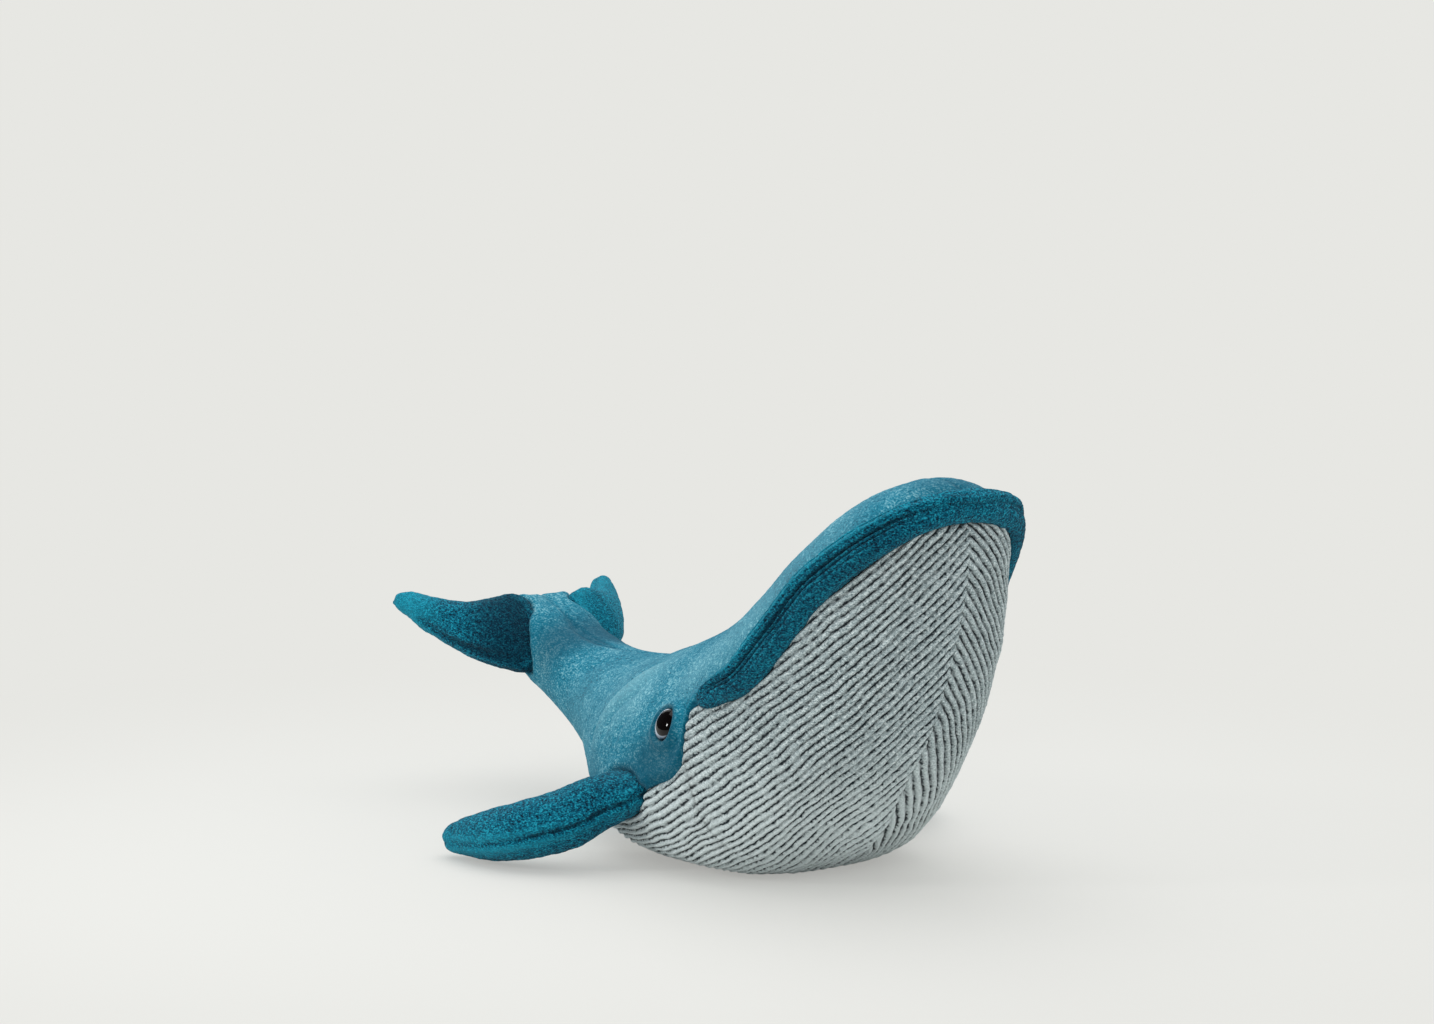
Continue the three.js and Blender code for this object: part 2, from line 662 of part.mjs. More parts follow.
function lipSurface() {
  const rightSide = lipShares.map(placeOnBody);
  const leftSide = rightSide.slice(0, -1).reverse().map((p) => new THREE.Vector3(-p.x, p.y, p.z));
  const path = new THREE.CatmullRomCurve3([...rightSide, ...leftSide]);
  const length = path.getLength();
  const [cornerShare, middleShare, noseShare] = lipWidthShares;
  const halfWidths = [[cornerShare], [middleShare], [noseShare], [middleShare], [cornerShare]];
  const outside = 4 * (LIP_CHANNELS + 1);
  const rings = Array.from({ length: LIP_STATIONS }, (_, i) => {
    const ease = (1 - Math.cos((Math.PI * (i + 1 / 2)) / LIP_STATIONS)) / 2;
    const at = (ease + (i + 1 / 2) / LIP_STATIONS) / 2;
    const fromEnd = Math.min(at, 1 - at) * length;
    const inward = Math.max(1 - fromEnd / LIP_END, 0);
    const end = Math.sqrt(1 - inward * inward);
    const guess = path.getPointAt(at);
    const onRight = new THREE.Vector3(-Math.abs(guess.x), guess.y, guess.z);
    const { point, normal } = onBody(onRight);
    if (guess.x > 0) {
      point.x = -point.x;
      normal.x = -normal.x;
    }
    const heading = path.getTangentAt(at);
    const across = normal.clone().cross(heading).normalize();
    const [widthShare] = rowAt(halfWidths, at * (halfWidths.length - 1));
    const halfWidth = (LIP_WIDTH / 2) * widthShare * end;
    const over = Array.from({ length: outside + 1 }, (__, k) => {
      const share = (2 * k) / outside - 1;
      const swell = Math.sqrt(Math.max(1 - share ** 4, 0));
      const channel = (1 + Math.cos(Math.PI * (LIP_CHANNELS + 1) * (share + 1))) / 2;
      const dip = Math.abs(share) < 1 - 1 / outside ? LIP_CHANNEL_DEPTH * channel : 0;
      const height = (LIP_THICKNESS * swell - dip) * end;
      return point.clone().addScaledVector(across, share * halfWidth).addScaledVector(normal, height);
    });
    const under = [1, -1].map((side) =>
      point.clone().addScaledVector(across, side * halfWidth).addScaledVector(normal, -LIP_ROOT * end),
    );
    return [...over, ...under];
  });
  const ends = [path.getPointAt(0), path.getPointAt(1)];
  return { first: ends[0], rings, last: ends[1] };
}

const lip = surfaceSolid(lipSurface()).subtract(aroundBody);

// The pieces of the body

const bellySkin = skin.subtract(tailHole);
const backRegion = rightHalf.subtract(bellyRegion(0));
const backCover = bellySkin.intersect(backRegion).subtract(flipperSocket).subtract(stemHole);
const bellyCover = bellySkin.intersect(bellyRegion(SEAM_GAP)).subtract(flipperSocket);
const stuffing = withoutBothSides(
  withoutBothSides(stuffingSpace.subtract(tailHole), flipperSocket),
  washerPocket.add(stemHole),
).subtract(pouchSpheroid(SEAM_GAP));
const headStuffing = stuffing.intersect(headRegion(SEAM_GAP));
const torsoStuffing = stuffing.subtract(headRegion(0));
const flukeRoom = foldingRoom();
const tailCover = skin.intersect(tailRegion).intersect(rightHalf).subtract(flukeRoom);
const tailStuffing = withoutBothSides(stuffingSpace.intersect(tailRegion), flukeRoom);

// The assembly

function named(name, solid, material) {
  const mesh = new THREE.Mesh(geometryOf(solid), material);
  mesh.name = name;
  return mesh;
}

function limbGroup(name, limb, matrix, side, material) {
  const group = new THREE.Group();
  for (const [piece, solid] of Object.entries(limbPieces(limb))) {
    const finish = piece === "stuffing" ? FIBRE : material;
    group.add(named(`${name}_${piece}_${side}`, solid, finish));
  }
  matrix.decompose(group.position, group.quaternion, group.scale);
  return group;
}

function sideGroup(side) {
  const group = new THREE.Group();
  group.add(
    named(`back_cover_${side}`, backCover, PLUSH),
    named(`belly_cover_${side}`, bellyCover, RIBBED_PLUSH),
    named(`tail_cover_${side}`, tailCover, PLUSH),
    named(`eye_${side}`, eye, EYE_PLASTIC),
    named(`eye_washer_${side}`, washer, WASHER_PLASTIC),
    limbGroup("flipper", flipper, flipperPlace, side, DARK_PLUSH),
    limbGroup("fluke", fluke, flukePlace, side, DARK_PLUSH),
  );
  if (side === "left") group.scale.x = -1;
  return group;
}

const whale = new THREE.Group();
whale.add(
  sideGroup("right"),
  sideGroup("left"),
  named("lip_roll", lip, DARK_PLUSH),
  named("head_stuffing", headStuffing, FIBRE),
  named("torso_stuffing", torsoStuffing, FIBRE),
  named("tail_stuffing", tailStuffing, FIBRE),
  named("bean_pouch", pouch, POUCH_CLOTH),
);

// The origin lies on the resting face, in the middle of the whale's length.
const extent = new THREE.Box3().setFromObject(whale, true);
whale.position.y = -extent.getCenter(new THREE.Vector3()).y;

export default whale;
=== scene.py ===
"""A sitting plush whale: its covers, lip roll, eyes and limbs, in a plain pale studio.

Places on the whale are written as along (forward), out (to its right) and up, in metres.
"""

import logging
import math
from dataclasses import dataclass, field
from enum import Enum

import bmesh
import bpy
import numpy as np
from mathutils import Matrix, Vector
from mathutils.bvhtree import BVHTree
from mathutils.kdtree import KDTree


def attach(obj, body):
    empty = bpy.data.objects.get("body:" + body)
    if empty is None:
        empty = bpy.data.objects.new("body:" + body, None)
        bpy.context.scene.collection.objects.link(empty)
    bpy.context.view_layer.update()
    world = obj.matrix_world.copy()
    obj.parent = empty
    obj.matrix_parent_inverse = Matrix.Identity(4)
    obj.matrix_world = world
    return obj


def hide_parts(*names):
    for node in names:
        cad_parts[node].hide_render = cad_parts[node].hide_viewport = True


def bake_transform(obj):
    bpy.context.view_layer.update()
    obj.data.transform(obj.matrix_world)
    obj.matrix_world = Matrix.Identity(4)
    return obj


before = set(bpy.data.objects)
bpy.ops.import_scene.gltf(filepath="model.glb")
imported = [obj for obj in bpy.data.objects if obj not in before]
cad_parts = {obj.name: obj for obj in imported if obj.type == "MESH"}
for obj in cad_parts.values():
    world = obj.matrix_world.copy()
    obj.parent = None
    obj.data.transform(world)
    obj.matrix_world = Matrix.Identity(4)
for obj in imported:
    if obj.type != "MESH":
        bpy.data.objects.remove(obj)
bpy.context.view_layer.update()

log = logging.getLogger("plush_whale")
Array = np.ndarray
Socket = bpy.types.NodeSocket
Place = tuple[float, float, float]
Direction = tuple[float, float, float]
Line = tuple[Place, ...]
Colour = tuple[float, float, float, float]
Face = tuple[int, ...]
Bell = tuple[float, float, float]  # height, middle and width of a bell curve
Grain = tuple[float, float, int]  # height, size and seed of a kind of lumps
RANDOM_CELLS = 32
MERGE_DISTANCE = 1e-6


class Side(Enum):
    """The whale's own sides, by the sign of X."""

    RIGHT = -1
    LEFT = 1

    @property
    def word(self) -> str:
        """The side's name as the CAD nodes write it."""
        return self.name.lower()

    @property
    def flip(self) -> Array:
        """What takes a place of the row frame from the right side to this one."""
        return np.array([-self.value, 1, 1])


# Curves and noise


def smooth_rows(table: Array, at: Array) -> Array:
    """Rows of a table at fractional places, on a smooth curve through the rows.

    Args:
        table: Rows of numbers.
        at: Places along the table, of any shape.

    Returns:
        One row for each place.
    """
    at = np.asarray(at, float)
    first = np.clip(np.floor(at).astype(int), 0, len(table) - 2)
    f = (at - first)[..., None]
    near, far = table[first], table[first + 1]
    before = table[np.maximum(first - 1, 0)]
    before = np.where((first > 0)[..., None], before, 2 * near - far)
    after = table[np.minimum(first + 2, len(table) - 1)]
    after = np.where((first + 2 < len(table))[..., None], after, 2 * far - near)
    slope, next_slope, rise = (far - before) / 2, (after - near) / 2, far - near
    curve = 3 * rise - 2 * slope - next_slope + f * (slope + next_slope - 2 * rise)
    return near + f * slope + f * f * curve


def eased(low: float, high: float, value: Array) -> Array:
    """A smooth step from 0 at low to 1 at high."""
    t = np.clip((value - low) / (high - low), 0, 1)
    return t * t * (3 - 2 * t)


def bell(distance: Array, width: float) -> Array:
    """A bell curve of distance, 1 at zero."""
    return np.exp(-((distance / width) ** 2))


def bells(at: Array, *curves: Bell) -> Array:
    """The sum of bell curves at places along one line."""
    return sum(height * bell(at - middle, width) for height, middle, width in curves)


@dataclass(frozen=True)
class Lumps:
    """Smooth random unevenness of one size in space.

    Attributes:
        size: Length from one lump to the next.
        seed: Which of the patterns.
    """

    size: float
    seed: int

    def at(self, points: Array) -> Array:
        """The unevenness at some places.

        Args:
            points: The places, x, y and z last.

        Returns:
            Values from -1 to 1.
        """
        values = np.random.default_rng(self.seed).uniform(-1, 1, (RANDOM_CELLS,) * 3)
        place = points / self.size + RANDOM_CELLS * RANDOM_CELLS
        cell = np.floor(place).astype(int)
        f = place - cell
        f = f * f * (3 - 2 * f)
        total = np.zeros(points.shape[:-1])
        for corner in np.ndindex(2, 2, 2):
            share = np.prod(np.where(corner, f, 1 - f), axis=-1)
            x, y, z = np.moveaxis((cell + corner) % RANDOM_CELLS, -1, 0)
            total += share * values[x, y, z]
        return total


def uneven(points: Array, *lumps: Grain) -> Array:
    """The sum of some kinds of lumps at points, x, y and z last."""
    return sum(height * Lumps(size, seed).at(points) for height, size, seed in lumps)


@dataclass(frozen=True)
class Stroke:
    """A crease or a ridge drawn on fabric along a smooth line.

    Attributes:
        places: Points of the line.
        height: How far the fabric stands proud on the line; negative for a crease.
        width: Distance at which it has mostly faded.
        fade: Share of the line over which each end fades.
    """

    places: Line
    height: float
    width: float
    fade: float = 0.2

    def offset(self, points: Array) -> Array:
        """How far the stroke moves each point outward.

        Args:
            points: Points in the row frame, x, y and z last.

        Returns:
            One distance for each point.
        """
        rows = np.array(self.places)
        steps = 8 * (len(rows) - 1) + 1
        line = smooth_rows(rows, np.linspace(0, len(rows) - 1, steps))
        flat = points.reshape(-1, 3)
        moved = np.zeros(len(flat))
        reach = 3 * self.width
        near = np.all((flat > line.min(0) - reach) & (flat < line.max(0) + reach), axis=1)
        chosen = flat[near]
        if not len(chosen):
            return moved.reshape(points.shape[:-1])
        best = np.full(len(chosen), np.inf)
        where = np.zeros(len(chosen))
        for k in range(steps - 1):
            start, run = line[k], line[k + 1] - line[k]
            t = np.clip((chosen - start) @ run / (run @ run), 0, 1)
            distance = np.linalg.norm(chosen - start - t[:, None] * run, axis=1)
            closer = distance < best
            best[closer] = distance[closer]
            where[closer] = (k + t[closer]) / (steps - 1)
        ends = eased(0, self.fade, where) * eased(0, self.fade, 1 - where)
        moved[near] = self.height * bell(best, self.width) * ends
        return moved.reshape(points.shape[:-1])


# Meshes


def unit(vectors: Array) -> Array:
    """Vectors drawn to length one, x, y and z last."""
    return vectors / np.linalg.norm(vectors, axis=-1, keepdims=True)


def gaps(points: Array, axis: int) -> Array:
    """Distances between neighbouring points along an axis."""
    return np.linalg.norm(np.diff(points, axis=axis), axis=-1)


def run_along(points: Array) -> Array:
    """The length of a line of points up to each of them."""
    return np.concatenate([[0], np.cumsum(gaps(points, 0))])


def grid_normals(points: Array) -> Array:
    """Unit outward directions of a grid whose rows run along and columns around.

    Args:
        points: Rows by columns by x, y and z.

    Returns:
        A direction for each point.
    """
    across = np.cross(np.gradient(points, axis=0), np.gradient(points, axis=1))
    length = np.linalg.norm(across, axis=-1, keepdims=True)
    return across / np.maximum(length, 1e-12)


def tube_normals(points: Array) -> Array:
    """Unit outward directions of a grid whose last column joins its first."""
    return grid_normals(np.concatenate([points, points[:, :1]], axis=1))[:, :-1]


def grid_faces(rows: int, columns: int, closed: bool = False) -> list[Face]:
    """Four-sided faces of a grid of vertices that is numbered row by row.

    Args:
        rows: Number of rows.
        columns: Number of columns.
        closed: Whether the last column joins the first.

    Returns:
        Vertex numbers of each face, facing outward.
    """
    turns = columns if closed else columns - 1
    return [
        (i * columns + k, (i + 1) * columns + k, (i + 1) * columns + m, i * columns + m)
        for i in range(rows - 1)
        for k in range(turns)
        for m in ((k + 1) % columns,)
    ]


def tube_faces(rows: int, columns: int) -> list[Face]:
    """Faces of a grid whose last column joins its first, with both ends closed."""
    last = range((rows - 1) * columns, rows * columns)
    ends = [tuple(range(columns)), tuple(reversed(last))]
    return grid_faces(rows, columns, closed=True) + ends


def point_tree(points: Array) -> KDTree:
    """A search tree that finds the nearest of these points.

    Args:
        points: One row for each.

    Returns:
        The tree, which knows each point by its row's number.
    """
    tree = KDTree(len(points))
    for number, point in enumerate(points):
        tree.insert(point, number)
    tree.balance()
    return tree


def linked(name: str, data: bpy.types.ID) -> bpy.types.Object:
    """A new object at the origin that shows a mesh, a camera or a lamp."""
    made = bpy.data.objects.new(name, data)
    bpy.context.scene.collection.objects.link(made)
    return made


def mesh_object(name: str, points: Array, faces: list[Face]) -> bpy.types.Object:
    """A smooth-shaded mesh object at the origin.

    Args:
        name: Its name.
        points: Vertex places.
        faces: Vertex numbers of each face.

    Returns:
        The new object.
    """
    mesh = bpy.data.meshes.new(name)
    mesh.from_pydata(points.reshape(-1, 3).tolist(), [], faces)
    mesh.polygons.foreach_set("use_smooth", [True] * len(mesh.polygons))
    mesh.update()
    return linked(name, mesh)


def write_attribute(obj: bpy.types.Object, name: str, values: Array) -> None:
    """Stores one number per vertex for the materials."""
    attribute = obj.data.attributes.new(name, "FLOAT", "POINT")
    attribute.data.foreach_set("value", np.ascontiguousarray(values, np.float32).ravel())


def welded(obj: bpy.types.Object) -> None:
    """Merges vertices that lie in one place and drops the faces that this empties.

    Args:
        obj: The mesh object.
    """
    work = bmesh.new()
    work.from_mesh(obj.data)
    bmesh.ops.remove_doubles(work, verts=work.verts, dist=MERGE_DISTANCE)
    bmesh.ops.dissolve_degenerate(work, edges=work.edges, dist=MERGE_DISTANCE)
    work.to_mesh(obj.data)
    work.free()


def face_outward(obj: bpy.types.Object) -> None:
    """Turns the faces of a closed form outward.

    Args:
        obj: The mesh object.
    """
    work = bmesh.new()
    work.from_mesh(obj.data)
    bmesh.ops.recalc_face_normals(work, faces=work.faces)
    work.to_mesh(obj.data)
    work.free()


def vertex_places(obj: bpy.types.Object) -> Array:
    """The vertices of a mesh object, one row each."""
    places = np.empty(len(obj.data.vertices) * 3)
    obj.data.vertices.foreach_get("co", places)
    return places.reshape(-1, 3)


def only(obj: bpy.types.Object) -> None:
    """Makes this object the only one selected, and the active one."""
    bpy.ops.object.select_all(action="DESELECT")
    obj.select_set(True)
    bpy.context.view_layer.objects.active = obj


def dressed(
    piece: bpy.types.Object, finish: bpy.types.Material
) -> None:
    """Gives a finished piece its material and logs how many vertices it has.

    Args:
        piece: The piece.
        finish: Its material.
    """
    piece.data.materials.append(finish)
    log.info("%s: %d vertices", piece.name, len(piece.data.vertices))


@dataclass(frozen=True)
class Stuffing:
    """Fills a fabric cover by a cloth simulation and applies the result.

    Attributes:
        pressure: How hard the filling pushes.
        frames: Length of the simulation.
        most: Furthest that a point may move.
    """

    pressure: float = 4.0
    frames: int = 20
    most: float = 0.004

    def fill(self, obj: bpy.types.Object, sewn: Array | None = None) -> None:
        """Swells a closed cover in place.

        Args:
            obj: The cover, a mesh at the origin.
            sewn: For each vertex, 1 where a seam holds it and 0 where it is free.
        """
        before = vertex_places(obj)
        cloth = obj.modifiers.new("filling", "CLOTH")
        settings = cloth.settings
        settings.quality = 5
        settings.mass = 0.02
        settings.tension_stiffness = settings.compression_stiffness = 5
        settings.shear_stiffness = 2
        settings.bending_stiffness = 0.05
        settings.use_pressure = True
        settings.uniform_pressure_force = self.pressure
        settings.effector_weights.gravity = 0
        cloth.collision_settings.use_collision = False
        if sewn is not None:
            group = obj.vertex_groups.new(name="sewn")
            for number in np.flatnonzero(sewn > 0):
                group.add([int(number)], float(sewn[number]), "REPLACE")
            settings.vertex_group_mass = group.name
        scene = bpy.context.scene
        for number in range(1, self.frames + 1):
            scene.frame_set(number)
        evaluated = obj.evaluated_get(bpy.context.evaluated_depsgraph_get())
        after = np.empty(before.size)
        evaluated.data.vertices.foreach_get("co", after)
        moved = after.reshape(-1, 3) - before
        length = np.linalg.norm(moved, axis=1, keepdims=True)
        capped = moved * np.minimum(1, self.most / np.maximum(length, 1e-9))
        log.info("%s swells by up to %.1f mm", obj.name, 1000 * length.max())
        obj.modifiers.remove(cloth)
        obj.vertex_groups.clear()
        obj.data.vertices.foreach_set("co", (before + capped).ravel())
        scene.frame_set(1)


# The body's form


@dataclass(frozen=True)
class BodyForm:
    """The whale's stuffed body as sections from the nose (0) to the tail end (17).

    Each row has the back's place along and up, the belly's place along and up, the half
    width, how far up its widest line lies, and how square it is under and over that line.
    """

    length: float = 0.430
    height: float = 0.237
    half_width: float = 0.091
    flat_depth: float = 0.0005
    centre_shift: float = 0.061273
    fine_steps: int = 1500
    fine_turns: int = 24
    seam_steps: int = 40
    rows: tuple[tuple[float, ...], ...] = (
        (0.426, 0.916, 0.426, 0.916, 0.0, 0.5, 2.0, 2.0),
        (0.423, 0.962, 0.426, 0.844, 0.22, 0.55, 2.0, 2.0),
        (0.4, 0.996, 0.419, 0.743, 0.407, 0.58, 2.1, 2.0),
        (0.346, 0.998, 0.398, 0.608, 0.56, 0.58, 2.1, 2.0),
        (0.27, 0.95, 0.363, 0.447, 0.692, 0.56, 2.2, 2.1),
        (0.19, 0.85, 0.305, 0.283, 0.802, 0.53, 2.3, 2.1),
        (0.1, 0.718, 0.228, 0.122, 0.901, 0.49, 2.4, 2.05),
        (0.005, 0.612, 0.135, 0.015, 0.978, 0.44, 2.8, 2.0),
        (-0.084, 0.544, 0.023, 0.0, 1.0, 0.4, 3.4, 2.0),
        (-0.167, 0.494, -0.098, 0.0, 0.934, 0.39, 3.2, 2.0),
        (-0.242, 0.46, -0.209, 0.025, 0.747, 0.42, 2.6, 2.0),
        (-0.319, 0.443, -0.298, 0.101, 0.56, 0.46, 2.2, 2.0),
        (-0.4, 0.443, -0.386, 0.169, 0.429, 0.48, 2.1, 2.0),
        (-0.484, 0.468, -0.47, 0.219, 0.345, 0.5, 2.0, 2.8),
        (-0.558, 0.516, -0.535, 0.262, 0.3, 0.5, 2.2, 4.0),
        (-0.603, 0.541, -0.578, 0.3, 0.28, 0.5, 2.4, 5.5),
        (-0.622, 0.51, -0.608, 0.36, 0.19, 0.5, 2.2, 5.0),
        (-0.625, 0.44, -0.625, 0.44, 0.0, 0.5, 2.0, 2.0),
    )
    seam: tuple[tuple[float, float], ...] = (
        (0.5, 0.94),
        (0.426, 0.909),
        (0.401, 0.862),
        (0.358, 0.796),
        (0.313, 0.725),
        (0.271, 0.635),
        (0.236, 0.557),
        (0.198, 0.495),
        (0.155, 0.464),
        (0.112, 0.445),
        (0.084, 0.43),
        (0.082, 0.37),
        (0.084, 0.31),
        (0.065, 0.255),
        (0.02, 0.22),
        (-0.06, 0.14),
        (-0.15, 0.1),
        (-0.26, 0.06),
        (-0.34, 0.0),
    )

    @property
    def end(self) -> float:
        """The last section's place in the table."""
        return len(self.rows) - 1.0

    def place(self, along: Array, out: Array, up: Array) -> Array:
        """Points of the row frame from places on the whale."""
        spread = np.broadcast_arrays(-np.asarray(out), -np.asarray(along) - self.centre_shift, up)
        return np.stack(spread, axis=-1)

    def table(self) -> Array:
        """The rows, led by two more that carry the surface smoothly over the nose.

        Returns:
            One row for each section, two more than there are.
        """
        lead = [
            (belly_y, belly_z, back_y, back_z, -wide, 1 - middle, over, under)
            for back_y, back_z, belly_y, belly_z, wide, middle, under, over in self.rows[2:0:-1]
        ]
        return np.array([*lead, *self.rows])

    def section(self, at: Array) -> dict[str, Array]:
        """The sections at places along the body.

        Args:
            at: Places in the table.

        Returns:
            Side view points of back, belly and centre, the half width and the squareness.
        """
        row = smooth_rows(self.table(), np.asarray(at, float) + 2)
        size = np.array([self.length, self.height])
        back, belly = row[..., 0:2] * size, row[..., 2:4] * size
        belly = belly - np.array([0, self.flat_depth])
        middle = row[..., 5:6]
        return {
            "back": back,
            "belly": belly,
            "centre": belly + (back - belly) * middle,
            "middle": row[..., 5],
            "half_width": row[..., 4] * self.half_width,
            "under": row[..., 6],
            "over": row[..., 7],
        }

    def point(self, at: Array, angle: Array) -> Array:
        """Points of the body.

        Args:
            at: Places in the table.
            angle: Angle from the back over the right side to the belly, at pi.

        Returns:
            Points in the row frame.
        """
        at, angle = np.broadcast_arrays(np.asarray(at, float), np.asarray(angle, float))
        cut = self.section(at)
        up, side = np.cos(angle), np.sin(angle)
        square = np.where(up > 0, cut["over"], cut["under"])
        edge = np.where((up > 0)[..., None], cut["back"], cut["belly"])
        out = cut["half_width"] * np.sign(side) * np.abs(side) ** (2 / square)
        share = (np.abs(up) ** (2 / square))[..., None]
        view = cut["centre"] + (edge - cut["centre"]) * share
        return self.place(view[..., 0], out, view[..., 1])

    def seam_angle(self, at: Array) -> Array:
        """The angle at which the belly's seam crosses each section, or pi behind its end.

        Args:
            at: Places in the table, one row of them.

        Returns:
            One angle for each.
        """
        seam = np.array(self.seam)
        line = smooth_rows(seam, np.linspace(0, len(seam) - 1, self.seam_steps * len(seam)))
        line = line * np.array([self.length, self.height])
        cut = self.section(at)
        angles = []
        for k in range(len(at)):
            run = cut["belly"][k] - cut["back"][k]
            off = line - cut["back"][k]
            aside = run[0] * off[:, 1] - run[1] * off[:, 0]
            cross = np.flatnonzero(aside[:-1] * aside[1:] < 0)
            share = 1.0
            for i in cross:
                t = aside[i] / (aside[i] - aside[i + 1])
                g = float((off[i] + t * (off[i + 1] - off[i])) @ run / (run @ run))
                if 0 <= g < share:
                    share = g
            widest = 1 - cut["middle"][k]
            if share < widest:
                angles.append(math.acos(((widest - share) / widest) ** (cut["over"][k] / 2)))
            else:
                under = ((share - widest) / (1 - widest)) ** (cut["under"][k] / 2)
                angles.append(math.acos(-under))
        return np.array(angles)

    def stations(self, first: float, last: float, spacing: float) -> Array:
        """Places along the body that lie a spacing apart on average.

        Args:
            first: Where they start.
            last: Where they end.
            spacing: Mean distance over the surface.

        Returns:
            The places, first and last among them.
        """
        at = np.linspace(first, last, self.fine_steps)
        turn = np.linspace(0, 2 * math.pi, self.fine_turns)
        points = self.point(at[:, None], turn[None, :])
        step = gaps(points, 0)
        run = np.concatenate([[0], np.cumsum(0.5 * step.mean(1) + 0.5 * step.max(1))])
        count = int(run[-1] / spacing) + 1
        return np.interp(np.linspace(0, run[-1], count), run, at)

    def even_angles(self, at: Array, first: Array, last: Array, columns: int) -> Array:
        """Angles that lie equally far apart over the surface in each section.

        Args:
            at: The sections.
            first: Angle of the first column in each.
            last: Angle of the last column in each.
            columns: Number of columns.

        Returns:
            Sections by columns.
        """
        fine = np.linspace(0, 1, 6 * columns)
        angles = first[:, None] + (last - first)[:, None] * fine
        step = gaps(self.point(at[:, None], angles), 1)
        run = np.concatenate([np.zeros((len(at), 1)), np.cumsum(step + 1e-9, axis=1)], axis=1)
        share = np.linspace(0, 1, columns)
        return np.array([np.interp(share * run[k, -1], run[k], angles[k]) for k in range(len(at))])


@dataclass
class Filling:
    """How far the filling swells the body between its seams, from one cloth simulation."""

    form: BodyForm
    rings: int = 84
    turns: int = 80
    start: float = 0.12
    inset: float = 0.0012
    seam_reach: float = 0.006
    throat_end: float = 11.0
    evenings: int = 2
    stuffing: Stuffing = field(default_factory=lambda: Stuffing(pressure=4.0, most=0.0028))
    moved: Array | None = None
    places: Array | None = None

    def simulate(self) -> None:
        """Swells a coarse cover of the body that its seams hold, and keeps the movement."""
        end = self.form.end - self.start
        self.places = np.linspace(self.start, end, self.rings)
        angles = np.arange(self.turns) * 2 * math.pi / self.turns
        points = self.form.point(self.places[:, None], angles[None, :])
        normals = tube_normals(points)
        cover = points - self.inset * normals
        obj = mesh_object("body_filling", cover, tube_faces(self.rings, self.turns))
        self.stuffing.fill(obj, self.seam_share(points).ravel())
        swollen = vertex_places(obj).reshape(points.shape)
        along = np.sum((swollen - points) * normals, axis=-1, keepdims=True)
        moved = along * normals
        for _ in range(self.evenings):
            moved[1:-1] = (moved[:-2] + 2 * moved[1:-1] + moved[2:]) / 4
            moved = (np.roll(moved, 1, 1) + 2 * moved + np.roll(moved, -1, 1)) / 4
        self.moved = moved
        bpy.data.objects.remove(obj)

    def seam_share(self, points: Array) -> Array:
        """Which vertices a seam holds: the belly's seam, the middle seams and both ends.

        Args:
            points: The cover's vertices, rings by turns.

        Returns:
            1 for each vertex that is held, and 0 for the others.
        """
        line = self.form.point(self.places, self.form.seam_angle(self.places))
        tree = point_tree(np.concatenate([line, line * Side.LEFT.flip]))
        near = [tree.find(point)[2] < self.seam_reach for point in points.reshape(-1, 3)]
        sewn = np.array(near, float).reshape(points.shape[:2])
        sewn[:, 0] = 1
        sewn[self.places < self.throat_end, self.turns // 2] = 1
        sewn[[0, -1]] = 1
        return sewn

    def at(self, at: Array, angle: Array) -> Array:
        """The movement at places on the body, smooth from vertex to vertex.

        Args:
            at: Places along the body.
            angle: Angles round it.

        Returns:
            One vector for each place.
        """
        row = np.interp(at, self.places, np.arange(self.rings))
        column = (angle / (2 * math.pi) * self.turns) % self.turns
        total = np.zeros((*at.shape, 3))
        row_first, column_first = np.floor(row).astype(int), np.floor(column).astype(int)
        row_shares = self.shares(row - row_first)
        column_shares = self.shares(column - column_first)
        for i in range(4):
            r = np.clip(row_first + i - 1, 0, self.rings - 1)
            for k in range(4):
                c = (column_first + k - 1) % self.turns
                total += (row_shares[i] * column_shares[k])[..., None] * self.moved[r, c]
        return total

    @staticmethod
    def shares(f: Array) -> tuple[Array, Array, Array, Array]:
        """How much each of four neighbours counts.

        Args:
            f: Share of the way from the second neighbour to the third.

        Returns:
            Their four shares.
        """
        return (
            (-f + 2 * f**2 - f**3) / 2,
            (2 - 5 * f**2 + 3 * f**3) / 2,
            (f + 4 * f**2 - 3 * f**3) / 2,
            (-(f**2) + f**3) / 2,
        )


# Finishes


